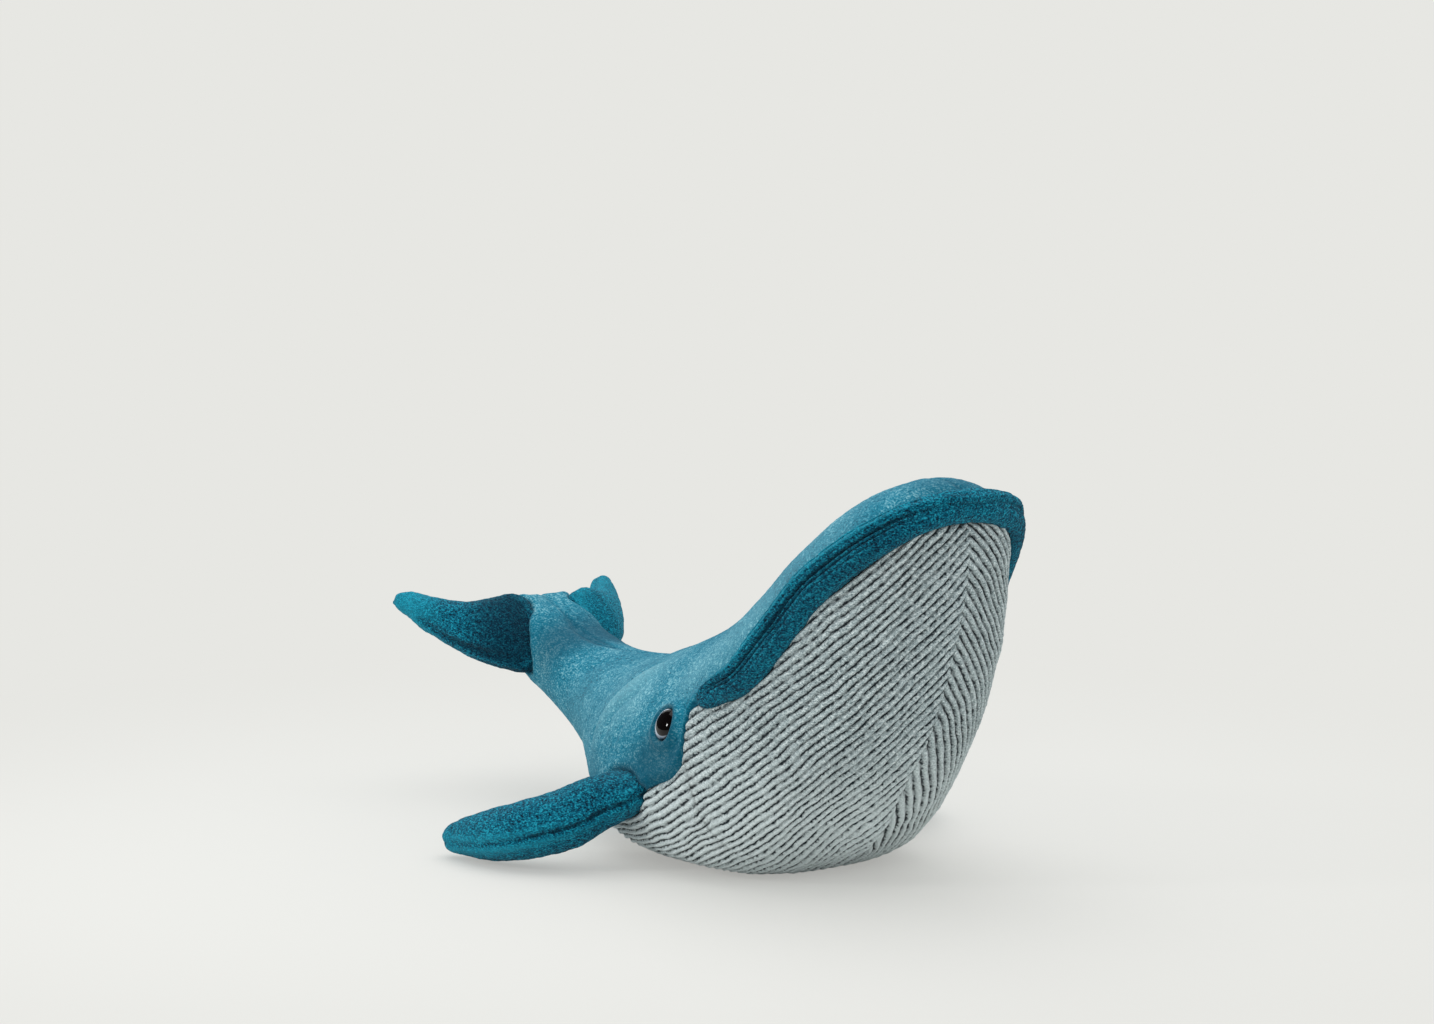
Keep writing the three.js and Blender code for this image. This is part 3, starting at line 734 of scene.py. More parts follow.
class Wires:
    """Adds nodes to a node tree and joins their sockets."""

    def __init__(self, tree: bpy.types.NodeTree) -> None:
        """Keeps the tree."""
        self.tree = tree

    def feed(self, node: bpy.types.Node, values: dict[str | int, object]) -> bpy.types.Node:
        """Sets inputs of a node.

        Args:
            node: The node.
            values: A value or a socket for each input, by name or number.

        Returns:
            The node.
        """
        for name, value in values.items():
            if isinstance(value, Socket):
                self.tree.links.new(value, node.inputs[name])
            else:
                node.inputs[name].default_value = value
        return node

    def add(
        self, kind: str, values: dict[str | int, object] | None = None, **settings: object
    ) -> bpy.types.Node:
        """Adds a node.

        Args:
            kind: The node's type, without its ShaderNode prefix.
            values: A value or a socket for each input, by name or number.
            settings: The node's own settings.

        Returns:
            The new node.
        """
        node = self.tree.nodes.new(f"ShaderNode{kind}")
        for name, value in settings.items():
            setattr(node, name, value)
        return self.feed(node, values or {})

    def math(self, operation: str, *values: object) -> Socket:
        """The result of a math operation on numbers or sockets."""
        return self.add("Math", dict(enumerate(values)), operation=operation).outputs[0]

    def noise(self, place: Socket, scale: object, detail: float = 2.0,
              roughness: float = 0.5) -> Socket:
        """Smooth noise from 0 to 1 at a place."""
        values = {"Vector": place, "Scale": scale, "Detail": detail, "Roughness": roughness}
        return self.add("TexNoise", values).outputs["Fac"]

    def ranged(self, value: Socket, low: float, high: float,
               to_low: float = 0.0, to_high: float = 1.0) -> Socket:
        """A value taken from one range to another, smoothly."""
        values = {"Value": value, "From Min": low, "From Max": high,
                  "To Min": to_low, "To Max": to_high}
        return self.add("MapRange", values, interpolation_type="SMOOTHSTEP").outputs["Result"]

    def mixed(self, share: object, first: object, second: object) -> Socket:
        """A mix of two colours."""
        return self.add("Mix", {0: share, 6: first, 7: second}, data_type="RGBA").outputs[2]

    def attribute(self, name: str) -> Socket:
        """The number that the mesh carries under a name."""
        return self.add("Attribute", attribute_name=name).outputs["Fac"]

    def bump(self, height: Socket, distance: float, strength: float = 1.0) -> Socket:
        """The normal that a height gives the surface."""
        values = {"Height": height, "Distance": distance, "Strength": strength}
        return self.add("Bump", values).outputs["Normal"]


class MaterialWires(Wires):
    """The nodes of a new material, with its shader and its place on the object."""

    def __init__(self, name: str) -> None:
        """Makes the material.

        Args:
            name: Its name.
        """
        self.made = bpy.data.materials.new(name)
        self.made.use_nodes = True
        super().__init__(self.made.node_tree)
        self.shader = self.tree.nodes["Principled BSDF"]
        self.place = self.add("TexCoord").outputs["Object"]

    def shaded(self, values: dict[str | int, object]) -> bpy.types.Material:
        """The material, with these values and sockets on its shader."""
        self.feed(self.shader, values)
        return self.made


def colour(red: float, green: float, blue: float) -> Colour:
    """A shader colour from one written as the screen shows it, each part from 0 to 255."""
    parts = [value / 255 for value in (red, green, blue)]
    linear = [v / 12.92 if v <= 0.04045 else ((v + 0.055) / 1.055) ** 2.4 for v in parts]
    return (*linear, 1.0)


def pile_group() -> bpy.types.NodeTree:
    """The shared look of short cut pile: fibres, tufts and brushed patches.

    Returns:
        A node group that puts out a colour and a height.
    """
    group = bpy.data.node_groups.new("plush_pile", "ShaderNodeTree")
    group.interface.new_socket("Place", in_out="INPUT", socket_type="NodeSocketVector")
    for name in ("Fibre Scale", "Fibres", "Tuft Scale", "Tufts", "Patch Scale", "Patches"):
        group.interface.new_socket(name, in_out="INPUT", socket_type="NodeSocketFloat")
    for name in ("Deep", "Plain", "Tip"):
        group.interface.new_socket(name, in_out="INPUT", socket_type="NodeSocketColor")
    group.interface.new_socket("Color", in_out="OUTPUT", socket_type="NodeSocketColor")
    group.interface.new_socket("Height", in_out="OUTPUT", socket_type="NodeSocketFloat")
    wires = Wires(group)
    given = group.nodes.new("NodeGroupInput").outputs
    result = group.nodes.new("NodeGroupOutput").inputs
    lean = wires.add("Mapping", {"Vector": given["Place"], "Rotation": (0.5, 0.3, 0.2),
                                 "Scale": (1.0, 0.7, 1.2)}).outputs[0]

    def part(place: Socket, scale: str, strength: str) -> Socket:
        """One size of unevenness about zero."""
        off = wires.math("SUBTRACT", wires.noise(place, given[scale], 2.0, 0.6), 0.5)
        return wires.math("MULTIPLY", off, given[strength])

    fibre = part(lean, "Fibre Scale", "Fibres")
    tuft = part(lean, "Tuft Scale", "Tufts")
    patch = part(given["Place"], "Patch Scale", "Patches")
    both = wires.math("ADD", fibre, tuft)
    height = wires.math("MULTIPLY_ADD", both, 0.5, 0.5)
    tone = wires.math("ADD", wires.math("ADD", both, patch), 0.5)
    dark = wires.mixed(wires.ranged(tone, -0.1, 0.55), given["Deep"], given["Plain"])
    full = wires.mixed(wires.ranged(tone, 0.45, 1.1), dark, given["Tip"])
    group.links.new(full, result["Color"])
    group.links.new(height, result["Height"])
    return group


@dataclass(frozen=True)
class PileFinish:
    """A plush fabric with short pile.

    Attributes:
        name: The material's name.
        deep: Colour between the fibres.
        plain: Colour of most of it.
        tip: Colour of the fibres' ends.
        fibre_scale: Fibres per metre.
        tuft_scale: Tufts per metre.
        patch_scale: Brushed patches per metre.
        fibres: How strongly the fibres change the colour.
        tufts: How strongly the tufts change it.
        patches: How strongly the patches change it.
        relief: Height of the fibres in the bump.
        sheen: Weight of the soft light that the fibres' ends catch.
        sheen_tint: Colour of that light.
    """

    name: str
    deep: Colour
    plain: Colour
    tip: Colour
    fibre_scale: float = 900.0
    tuft_scale: float = 330.0
    patch_scale: float = 22.0
    fibres: float = 1.7
    tufts: float = 0.8
    patches: float = 0.8
    relief: float = 0.0006
    sheen: float = 0.12
    sheen_tint: Colour = (0.6, 0.85, 1.0, 1.0)

    def material(self, group: bpy.types.NodeTree) -> bpy.types.Material:
        """Builds the material.

        Args:
            group: The shared pile effect.

        Returns:
            The new material.
        """
        wires = MaterialWires(self.name)
        pile = wires.add("Group", {
            "Place": wires.place,
            "Fibre Scale": self.fibre_scale,
            "Fibres": self.fibres,
            "Tuft Scale": self.tuft_scale,
            "Tufts": self.tufts,
            "Patch Scale": self.patch_scale,
            "Patches": self.patches,
            "Deep": self.deep,
            "Plain": self.plain,
            "Tip": self.tip,
        }, node_tree=group)
        return wires.shaded({
            "Base Color": self.dress(wires, pile.outputs["Color"], wires.attribute("pressed")),
            "Normal": wires.bump(pile.outputs["Height"], self.relief),
            "Roughness": 0.95,
            "Specular IOR Level": 0.1,
            "Sheen Weight": self.sheen,
            "Sheen Roughness": 0.45,
            "Sheen Tint": self.sheen_tint,
        })

    def dress(self, wires: Wires, base: Socket, pressed: Socket) -> Socket:
        """Paints shade into the pile in creases, seams and other shaded places, and paints light on
        ridges and lit places.

        Args:
            wires: The material's wiring.
            base: The pile's colour.
            pressed: The mesh's mark, from -1 in creases to 1 on ridges.

        Returns:
            The colour.
        """
        # painted shade: towards the deep colour where the mesh's painted shading is below zero
        painted_shade = wires.ranged(pressed, 0.0, -1.0)
        dark = wires.mixed(wires.math("MULTIPLY", painted_shade, 0.75), base, self.deep)
        # painted highlight: towards the tip colour where the mesh's painted shading is above zero
        painted_highlight = wires.ranged(pressed, 0.0, 1.0)
        return wires.mixed(wires.math("MULTIPLY", painted_highlight, 0.5), dark, self.tip)


@dataclass(frozen=True)
class RibbedFinish:
    """Ribbed short pile: pale rounded ribs, with painted shade in the channels between them and in
    the seams, and painted light low down.
    """

    name: str = "ribbed_grey_plush"
    # painted shade in the channels and the seams
    channel: Colour = colour(26, 38, 44)
    deep: Colour = colour(100, 116, 120)
    flank: Colour = colour(170, 185, 187)
    crown: Colour = colour(224, 235, 235)
    relief: float = 0.0007

    def material(self, group: bpy.types.NodeTree) -> bpy.types.Material:
        """Builds the material from the ribs that the mesh carries in its attribute.

        Args:
            group: The shared pile effect.

        Returns:
            The new material.
        """
        wires = MaterialWires(self.name)
        off = wires.math("SUBTRACT", wires.noise(wires.place, 520.0), 0.5)
        ragged = wires.math("MULTIPLY", off, 0.5)
        part = wires.math("FRACT", wires.math("ADD", wires.attribute("rib"), ragged))
        from_channel = wires.math("ABSOLUTE", wires.math("SUBTRACT", part, 0.5))
        pile = wires.add("Group", {
            "Place": wires.place,
            "Fibre Scale": 1000.0,
            "Fibres": 2.6,
            "Tuft Scale": 420.0,
            "Tufts": 0.8,
            "Patch Scale": 30.0,
            "Patches": 0.2,
            "Deep": self.deep,
            "Plain": self.flank,
            "Tip": self.crown,
        }, node_tree=group)
        depth = wires.ranged(from_channel, 0.27, 0.44)
        broken = wires.ranged(wires.noise(wires.place, 170.0), 0.34, 0.52, 0.35, 1.0)
        pressed = wires.attribute("pressed")
        # painted light towards the crown colour where the mesh's painted shading is above zero
        painted_light = wires.ranged(pressed, 0.0, 1.0, 0.0, 0.8)
        tone = wires.mixed(painted_light, pile.outputs["Color"], self.crown)
        # painted shade in the channels between the ribs
        tone = wires.mixed(wires.math("MULTIPLY", depth, broken), tone, self.channel)
        # painted shade in the seams
        tone = wires.mixed(wires.ranged(pressed, 0.0, -1.0, 0.0, 0.6), tone, self.channel)
        rib = wires.math("MULTIPLY", wires.ranged(from_channel, 0.5, 0.1), 1.2)
        grain = wires.math("MULTIPLY", pile.outputs["Height"], 0.8)
        return wires.shaded({
            "Base Color": tone,
            "Normal": wires.bump(wires.math("ADD", rib, grain), self.relief),
            "Roughness": 0.95,
            "Specular IOR Level": 0.1,
            "Sheen Weight": 0.2,
            "Sheen Roughness": 0.5,
        })


@dataclass(frozen=True)
class EyeFinish:
    """Moulded plastic eye: a brown-black pupil in a pale ring, with painted shade on the ring's
    lower part.
    """

    name: str = "glossy_eye"
    pupil: Colour = colour(7, 4, 4)
    ring: Colour = colour(206, 218, 232)
    # painted shade on the ring's lower part, below these heights
    low_ring: Colour = colour(70, 86, 104)
    low_heights: tuple[float, float] = (0.081, 0.0855)
    rim: Colour = colour(8, 14, 22)
    pupil_radius: float = 0.008
    pupil_blur: float = 0.0003
    ring_radius: float = 0.0088
    ring_blur: float = 0.0004

    def material(self) -> bpy.types.Material:
        """Builds the material from the distances to its axes that the mesh carries.

        Returns:
            The new material.
        """
        wires = MaterialWires(self.name)
        inner = wires.ranged(wires.attribute("from_pupil"), self.pupil_radius - self.pupil_blur,
                             self.pupil_radius + self.pupil_blur)
        outer = wires.ranged(wires.attribute("from_axis"), self.ring_radius - self.ring_blur,
                             self.ring_radius + self.ring_blur)
        up = wires.add("SeparateXYZ", {0: wires.place}).outputs["Z"]
        # painted shade: the ring darkens towards its lower part, by height
        ring = wires.mixed(wires.ranged(up, *self.low_heights), self.low_ring, self.ring)
        tone = wires.mixed(outer, wires.mixed(inner, self.pupil, ring), self.rim)
        return wires.shaded({"Base Color": tone, "Roughness": 0.07, "Specular IOR Level": 0.3})


@dataclass(frozen=True)
class InnerFinish:
    """A plain inner part: moulded plastic or woven cloth with a fine grain."""

    name: str
    plain: Colour
    grain: Colour
    scale: float
    roughness: float

    def material(self) -> bpy.types.Material:
        """Builds the material.

        Returns:
            The new material.
        """
        wires = MaterialWires(self.name)
        grain = wires.noise(wires.place, self.scale, 3.0, 0.6)
        return wires.shaded({
            "Base Color": wires.mixed(wires.ranged(grain, 0.3, 0.7), self.plain, self.grain),
            "Normal": wires.bump(grain, 0.0002, 0.6),
            "Roughness": self.roughness,
        })


# The body's covers


@dataclass
class EyePlace:
    """Where an eye sits on the body's right side, in the row frame."""

    point: Place = (-0.084296, -0.076348, 0.088985)
    normal: Direction = (-0.931681, 0.079851, 0.354394)
    radius: float = 0.010
    height: float = 0.0055

    def on(self, side: Side) -> tuple[Array, Array]:
        """The eye's point and outward direction on a side."""
        return np.array(self.point) * side.flip, np.array(self.normal) * side.flip


@dataclass
class BodyCovers:
    """The back skin and the two ribbed belly panels, sewn together along one seam.

    A seam's or trough's two numbers are its depth and width.
    """

    form: BodyForm
    filling: Filling
    limbs: tuple["Limb", ...]
    eye: EyePlace = field(default_factory=EyePlace)
    back_spacing: float = 0.00135
    back_columns: int = 231
    belly_spacing: float = 0.0008
    belly_columns: int = 171
    floor_gap: float = 0.0001
    nose_start: float = 0.03
    tail_stop: float = 16.97
    tuck: float = 0.0035
    seam_depth: float = 0.0022
    seam_width: float = 0.0032
    belly_seam_width: float = 0.0028
    seam_roll: Bell = (0.0009, 0.006, 0.0035)
    middle_seam: tuple[float, float] = (0.0009, 0.0016)
    middle_start: tuple[float, float] = (0.4, 1.2)
    trough: tuple[float, float] = (0.0008, 0.0022)
    rib_pitch: float = 0.0041
    rib_depth: float = 0.002
    rib_round: float = 2.2
    rib_direction: Direction = (0.601, 0.337, 0.725)
    centre_off: float = 0.0042
    centre_low_off: float = 0.0105

    back_lumps: tuple[Grain, ...] = ((0.0011, 0.045, 3), (0.0004, 0.016, 4))
    back_pile: tuple[Grain, ...] = ((0.00016, 0.0026, 5), (0.0001, 0.0014, 6))
    belly_lumps: tuple[Grain, ...] = ((0.0011, 0.045, 3), (0.0004, 0.014, 23))
    belly_pile: Grain = (0.00022, 0.0022, 24)
    rib_swell: Grain = (0.25, 0.007, 21)
    rib_wander: tuple[Grain, ...] = ((0.42, 0.034, 11), (0.16, 0.012, 12))
    rib_ragged: Grain = (0.07, 0.0045, 13)

    # round an eye: middle and width of the lid, its height all round and what the front adds
    lid_ring: tuple[float, float] = (0.0118, 0.0036)
    lid_height: tuple[float, float] = (0.0024, 0.0022)
    hollow_depth: float = 0.0034
    hollow_edge: tuple[float, float] = (0.0068, 0.0108)
    eye_reach: float = 0.02
    eye_shadow: Bell = (-0.0016, 0.0106, 0.0022)

    # how strongly the material shows creases, ridges, the middle seam and the limbs' seams: painted
    # shade in creases and seams, painted highlight on ridges
    crease_mark: float = 0.3
    ridge_mark: float = 0.2
    middle_mark: float = 0.6
    limb_mark: Bell = (-0.8, 0.0, 0.0014)
    full_mark: float = 0.0016
    belly_full_mark: float = 0.003

    # folds at the tail's root on the right side: along, out and up
    root_fold: Line = (
        (0.0114, 0.0572, 0.1281),
        (-0.016, 0.0487, 0.1228),
        (-0.0403, 0.0439, 0.1164),
        (-0.0576, 0.0475, 0.1096),
        (-0.068, 0.0567, 0.1006),
        (-0.0785, 0.0629, 0.087),
        (-0.0862, 0.0657, 0.0746),
        (-0.0895, 0.0694, 0.063),
        (-0.0898, 0.0713, 0.0543),
        (-0.0896, 0.0706, 0.0462),
    )
    second_fold: Line = (
        (-0.0314, 0.0602, 0.1086),
        (-0.0376, 0.0646, 0.1022),
        (-0.0431, 0.0693, 0.0952),
        (-0.055, 0.0729, 0.0857),
        (-0.0578, 0.0776, 0.0761),
        (-0.0548, 0.0819, 0.0674),
        (-0.0486, 0.0854, 0.0588),
    )
    third_fold: Line = (
        (-0.0225, 0.0764, 0.0936),
        (-0.0347, 0.0795, 0.0837),
        (-0.0384, 0.0835, 0.0734),
        (-0.0372, 0.0866, 0.0637),
    )
    tail_fold: Line = (
        (-0.236, 0.0, 0.1214),
        (-0.2177, 0.0023, 0.114),
        (-0.1973, 0.0045, 0.1083),
        (-0.1811, 0.0042, 0.1057),
        (-0.1678, 0.0022, 0.1046),
        (-0.1412, 0.0058, 0.1045),
    )
    side_fold: Line = (
        (-0.1804, 0.0342, 0.0849),
        (-0.1558, 0.0282, 0.0955),
        (-0.1351, 0.012, 0.1039),
    )

    # strokes on both sides: their line, how far ahead of it, height, width and fade
    side_strokes: tuple[tuple[Line, float, float, float, float], ...] = (
        (root_fold, 0.0, -0.0028, 0.0052, 0.45),
        (root_fold, 0.015, 0.0028, 0.0115, 0.45),
        (second_fold, 0.0, -0.0011, 0.0034, 0.5),
        (second_fold, 0.007, 0.0008, 0.005, 0.5),
        (third_fold, 0.0, -0.001, 0.0032, 0.5),
        (third_fold, 0.006, 0.0007, 0.0045, 0.5),
        (side_fold, 0.0, -0.0007, 0.005, 0.5),
    )
    tail_stroke: tuple[float, float, float] = (-0.0016, 0.0028, 0.3)

    # along, out and up of a patch of painted shade on the pile on the right side, its reach and how
    # dark it is; below zero the patch is painted light
    nap: tuple[tuple[float, float, float, float, float], ...] = (
        (0.014, 0.0895, 0.066, 0.028, 1.0),
        (0.03, 0.089, 0.07, 0.018, 0.4),
        (-0.018, 0.088, 0.052, 0.018, 0.4),
        (-0.205, 0.02, 0.105, 0.026, 0.9),
        (-0.147, 0.0437, 0.077, 0.035, -0.3),
        (-0.075, 0.06, 0.085, 0.032, -0.3),
        (-0.035, 0.075, 0.09, 0.024, -0.35),
        (-0.045, 0.05, 0.115, 0.02, -0.35),
        (0.02, 0.071, 0.115, 0.022, -0.4),
        (0.055, 0.065, 0.142, 0.03, -0.35),
        (0.089, 0.06, 0.168, 0.03, -0.35),
        (0.13, 0.05, 0.2, 0.035, -0.35),
        (0.172, 0.016, 0.2335, 0.022, 0.5),
    )

    def line(self, places: Line, side: Side, ahead: float = 0.0) -> Line:
        """A line on the whale in the row frame.

        Args:
            places: Along, out and up of each point, on the right side.
            side: Which side it is wanted on.
            ahead: How far to shift it forward.

        Returns:
            The points.
        """
        along, out, up = np.array(places).T
        points = self.form.place(along + ahead, out, up) * side.flip
        return tuple(tuple(point) for point in points)

    def strokes(self) -> list[Stroke]:
        """The creases and ridges of the back skin.

        Returns:
            A stroke for each, on both sides, and the one on the tail.
        """
        made = [
            Stroke(self.line(places, side, ahead), height, width, fade)
            for side in Side
            for places, ahead, height, width, fade in self.side_strokes
        ]
        return [*made, Stroke(self.line(self.tail_fold, Side.RIGHT), *self.tail_stroke)]

    def brushed(self, points: Array) -> Array:
        """Painted shade and light for how the brushed pile catches the light: darker above zero and
        lighter below it.

        Args:
            points: Points of the skin in the row frame.

        Returns:
            One share for each point.
        """
        total = np.zeros(points.shape[:-1])
        for side in Side:
            for along, out, up, reach, strength in self.nap:
                centre = self.form.place(along, out, up) * side.flip
                total += strength * bell(np.linalg.norm(points - centre, axis=-1), reach)
        return total

    def eye_relief(self, points: Array) -> Array:
        """The hollow that an eye sits in and the soft lid round it.

        Args:
            points: Points of the skin in the row frame.

        Returns:
            How far each point moves outward.
        """
        total = np.zeros(points.shape[:-1])
        for side in Side:
            centre, normal = self.eye.on(side)
            off = points - centre
            depth = off @ normal
            flat = off - depth[..., None] * normal
            radius = np.linalg.norm(flat, axis=-1)
            ahead = -flat[..., 1] / np.maximum(radius, 1e-6)
            middle, width = self.lid_ring
            height = self.lid_height[0] + self.lid_height[1] * np.clip(ahead, 0, 1)
            hollow = -self.hollow_depth * (1 - eased(*self.hollow_edge, radius))
            relief = bell(radius - middle, width) * height + hollow
            total += np.where(np.abs(depth) < self.eye_reach, relief, 0)
        return total

    def eye_shade(self, points: Array) -> Array:
        """The painted shade round the eyes, as a depth."""
        near = [np.linalg.norm(points - self.eye.on(side)[0], axis=-1) for side in Side]
        return bells(np.minimum(*near), self.eye_shadow)

    def pressed(self, offset: Array, scale: float) -> Array:
        """Painted shading for the material: shade as -1 in creases and highlight as 1 on ridges."""
        return np.clip(offset / scale, -1, 1)

    def tucked(self, points: Array, normals: Array, share: Array | float = 1.0) -> Array:
        """Adds a column at either edge of a sheet that turns in under its seam.

        Args:
            points: The sheet's points.
            normals: Their outward directions.
            share: How much of the full tuck each row gets.

        Returns:
            The wider sheet.
        """
        inward = self.tuck * share * normals
        first, last = points[:, :1] - inward[:, :1], points[:, -1:] - inward[:, -1:]
        return np.concatenate([first, points, last], axis=1)

    @staticmethod
    def widened(values: Array) -> Array:
        """A sheet's numbers, repeated on the columns that are tucked in."""
        return np.pad(values, ((0, 0), (1, 1)), mode="edge")

    def build_back(self) -> bpy.types.Object:
        """Builds the continuous blue skin of head, back and tail stock.

        Returns:
            The skin.
        """
        at = self.form.stations(self.nose_start, self.tail_stop, self.back_spacing)
        seam = self.form.seam_angle(at)
        angle = self.form.even_angles(at, -seam, seam, self.back_columns)
        places = np.broadcast_to(at[:, None], angle.shape)
        plain = self.form.point(places, angle)
        normals = grid_normals(plain)
        closed = (seam > math.pi - 1e-3)[:, None]
        ends = unit(normals[:, 0] + normals[:, -1])
        normals[:, 0] = np.where(closed, ends, normals[:, 0])
        normals[:, -1] = np.where(closed, ends, normals[:, -1])
        fold = sum(stroke.offset(plain) for stroke in self.strokes())
        step = gaps(plain, 1).mean(1)[:, None]
        column = np.arange(self.back_columns)[None, :]
        from_seam = np.minimum(column, self.back_columns - 1 - column) * step
        from_middle = np.abs(column - self.back_columns // 2) * step
        edge = np.where(closed, 0, -self.seam_depth * bell(from_seam, self.seam_width))
        roll = np.where(closed, 0, bells(from_seam, self.seam_roll))
        depth, width = self.middle_seam
        ridge = -depth * bell(from_middle, width) * eased(*self.middle_start, at)[:, None]
        lumps, pile = uneven(plain, *self.back_lumps), uneven(plain, *self.back_pile)
        gathers = sum(limb.gathers(plain) for limb in self.limbs)
        offset = fold + edge + roll + ridge + lumps + pile + self.eye_relief(plain) + gathers
        points = plain + self.filling.at(places, angle) + offset[..., None] * normals
        points[..., 2] = np.maximum(points[..., 2], 2 * self.floor_gap)
        sheet = self.tucked(points, normals, np.where(closed, 0, 1)[..., None])
        rows, columns = sheet.shape[:2]
        start, nose, tail = (rows - 1) * columns, rows * columns, rows * columns + 1
        faces = grid_faces(rows, columns)
        faces += [(nose, k, k + 1) for k in range(columns - 1)]
        faces += [(tail, start + k + 1, start + k) for k in range(columns - 1)]
        poles = [sheet[0].mean(0)[None], sheet[-1].mean(0)[None]]
        skin = mesh_object("back_skin", np.concatenate([sheet.reshape(-1, 3), *poles]), faces)
        # painted shade in creases, seams, round the eyes and at the limbs' seams, and painted
        # highlight on ridges
        shading_depth = self.crease_mark * np.minimum(fold, 0) + self.ridge_mark * np.maximum(fold, 0)
        shading_depth = shading_depth + edge + self.middle_mark * ridge + self.eye_shade(plain)
        sewn = np.minimum.reduce([limb.gap(points) for limb in self.limbs])
        # with painted patches of shade and light on the pile
        marks = self.pressed(shading_depth, self.full_mark) - self.brushed(plain)
        marks = np.clip(marks + bells(sewn, self.limb_mark), -1, 1)
        write_attribute(skin, "pressed", np.concatenate([self.widened(marks).ravel(), [0, 0]]))
        welded(skin)
        return skin

    def middle_angle(self, at: Array) -> Array:
        """The angle of the middle seam, which wanders a little to the whale's left.

        Args:
            at: Places along the body.

        Returns:
            One angle for each.
        """
        cut = self.form.section(at)
        up = cut["belly"][:, 1]
        low = 1 - eased(0.02, 0.07, up)
        off = self.centre_off + (self.centre_low_off - self.centre_off) * low
        off = off * (1 - eased(7.5, 10.0, at))
        share = np.minimum(off / np.maximum(cut["half_width"], 1e-6), 0.25)
        return math.pi + np.arcsin(share ** (cut["under"] / 2))

    def rib_turns(self, points: Array, side: Side) -> Array:
        """How many ribs lie between a place and the ground, for one panel.

        Args:
            points: Places on the panel.
            side: The panel's side.

        Returns:
            A number for each place, whole at each channel.
        """
        direction = unit(np.array(self.rib_direction) * [side.value, 1, 1])
        straight = points @ direction / self.rib_pitch
        wander = uneven(points, *self.rib_wander)
        low = 1 - eased(0.01, 0.09, points[..., 2])
        return straight + wander * (1 + 1.1 * low) + uneven(points, self.rib_ragged)

    def build_belly(self, side: Side) -> bpy.types.Object:
        """Builds one ribbed panel, each rib a rounded roll of the mesh.

        Args:
            side: The panel's side.

        Returns:
            The panel.
        """
        every = np.linspace(self.nose_start, self.form.end, 3000)
        open_part = every[self.form.seam_angle(every) < math.pi - 0.06]
        at = self.form.stations(self.nose_start, open_part.max(), self.belly_spacing)
        seam, middle = self.form.seam_angle(at), self.middle_angle(at)
        ends = (seam, middle) if side is Side.RIGHT else (middle, 2 * math.pi - seam)
        angle = self.form.even_angles(at, *ends, self.belly_columns)
        places = np.broadcast_to(at[:, None], angle.shape)
        plain = self.form.point(places, angle)
        normals = grid_normals(plain)
        step = gaps(plain, 1).mean(1)[:, None]
        column = np.arange(self.belly_columns)[None, :]
        from_seam, from_middle = column * step, (self.belly_columns - 1 - column) * step
        if side is Side.LEFT:
            from_seam, from_middle = from_middle, from_seam
        turns = self.rib_turns(plain, side)
        part = np.abs(turns - np.floor(turns) - 0.5) * 2
        rib = self.rib_depth * ((1 - part**self.rib_round) - 0.6)
        rib = rib * (1 + uneven(plain, self.rib_swell))
        edge = -self.seam_depth * bell(from_seam, self.belly_seam_width)
        trough = -self.trough[0] * bell(from_middle, self.trough[1])
        lumps, pile = uneven(plain, *self.belly_lumps), uneven(plain, self.belly_pile)
        gathers = sum(limb.gathers(plain) for limb in self.limbs)
        offset = rib + edge + trough + lumps + pile + gathers
        points = plain + self.filling.at(places, angle) + offset[..., None] * normals
        points[..., 2] = np.maximum(points[..., 2], self.floor_gap)
        sheet = self.tucked(points, normals)
        panel = mesh_object(f"belly_panel_{side.word}", sheet, grid_faces(*sheet.shape[:2]))
        write_attribute(panel, "rib", self.widened(turns))
        # painted light low on the belly, and painted shade in the seam
        low = 1 - eased(0.01, 0.13, plain[..., 2])
        marks = self.pressed(edge, self.belly_full_mark) + 0.75 * low
        write_attribute(panel, "pressed", self.widened(marks))
        return panel

    def dress(self, back: bpy.types.Material, ribbed: bpy.types.Material) -> None:
        """Builds and dresses the three covers, and hides the CAD parts that they replace.

        Args:
            back: Finish of the back skin.
            ribbed: Finish of the belly panels.
        """
        skin = self.build_back()
        dressed(skin, back)
        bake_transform(skin)
        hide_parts("back_cover_right", "back_cover_left", "tail_cover_right",
                    "tail_cover_left", "tail_stuffing", "torso_stuffing", "head_stuffing")
        for side in Side:
            panel = self.build_belly(side)
            dressed(panel, ribbed)
            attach(panel, "body")
            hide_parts(f"belly_cover_{side.word}")


# The lip roll


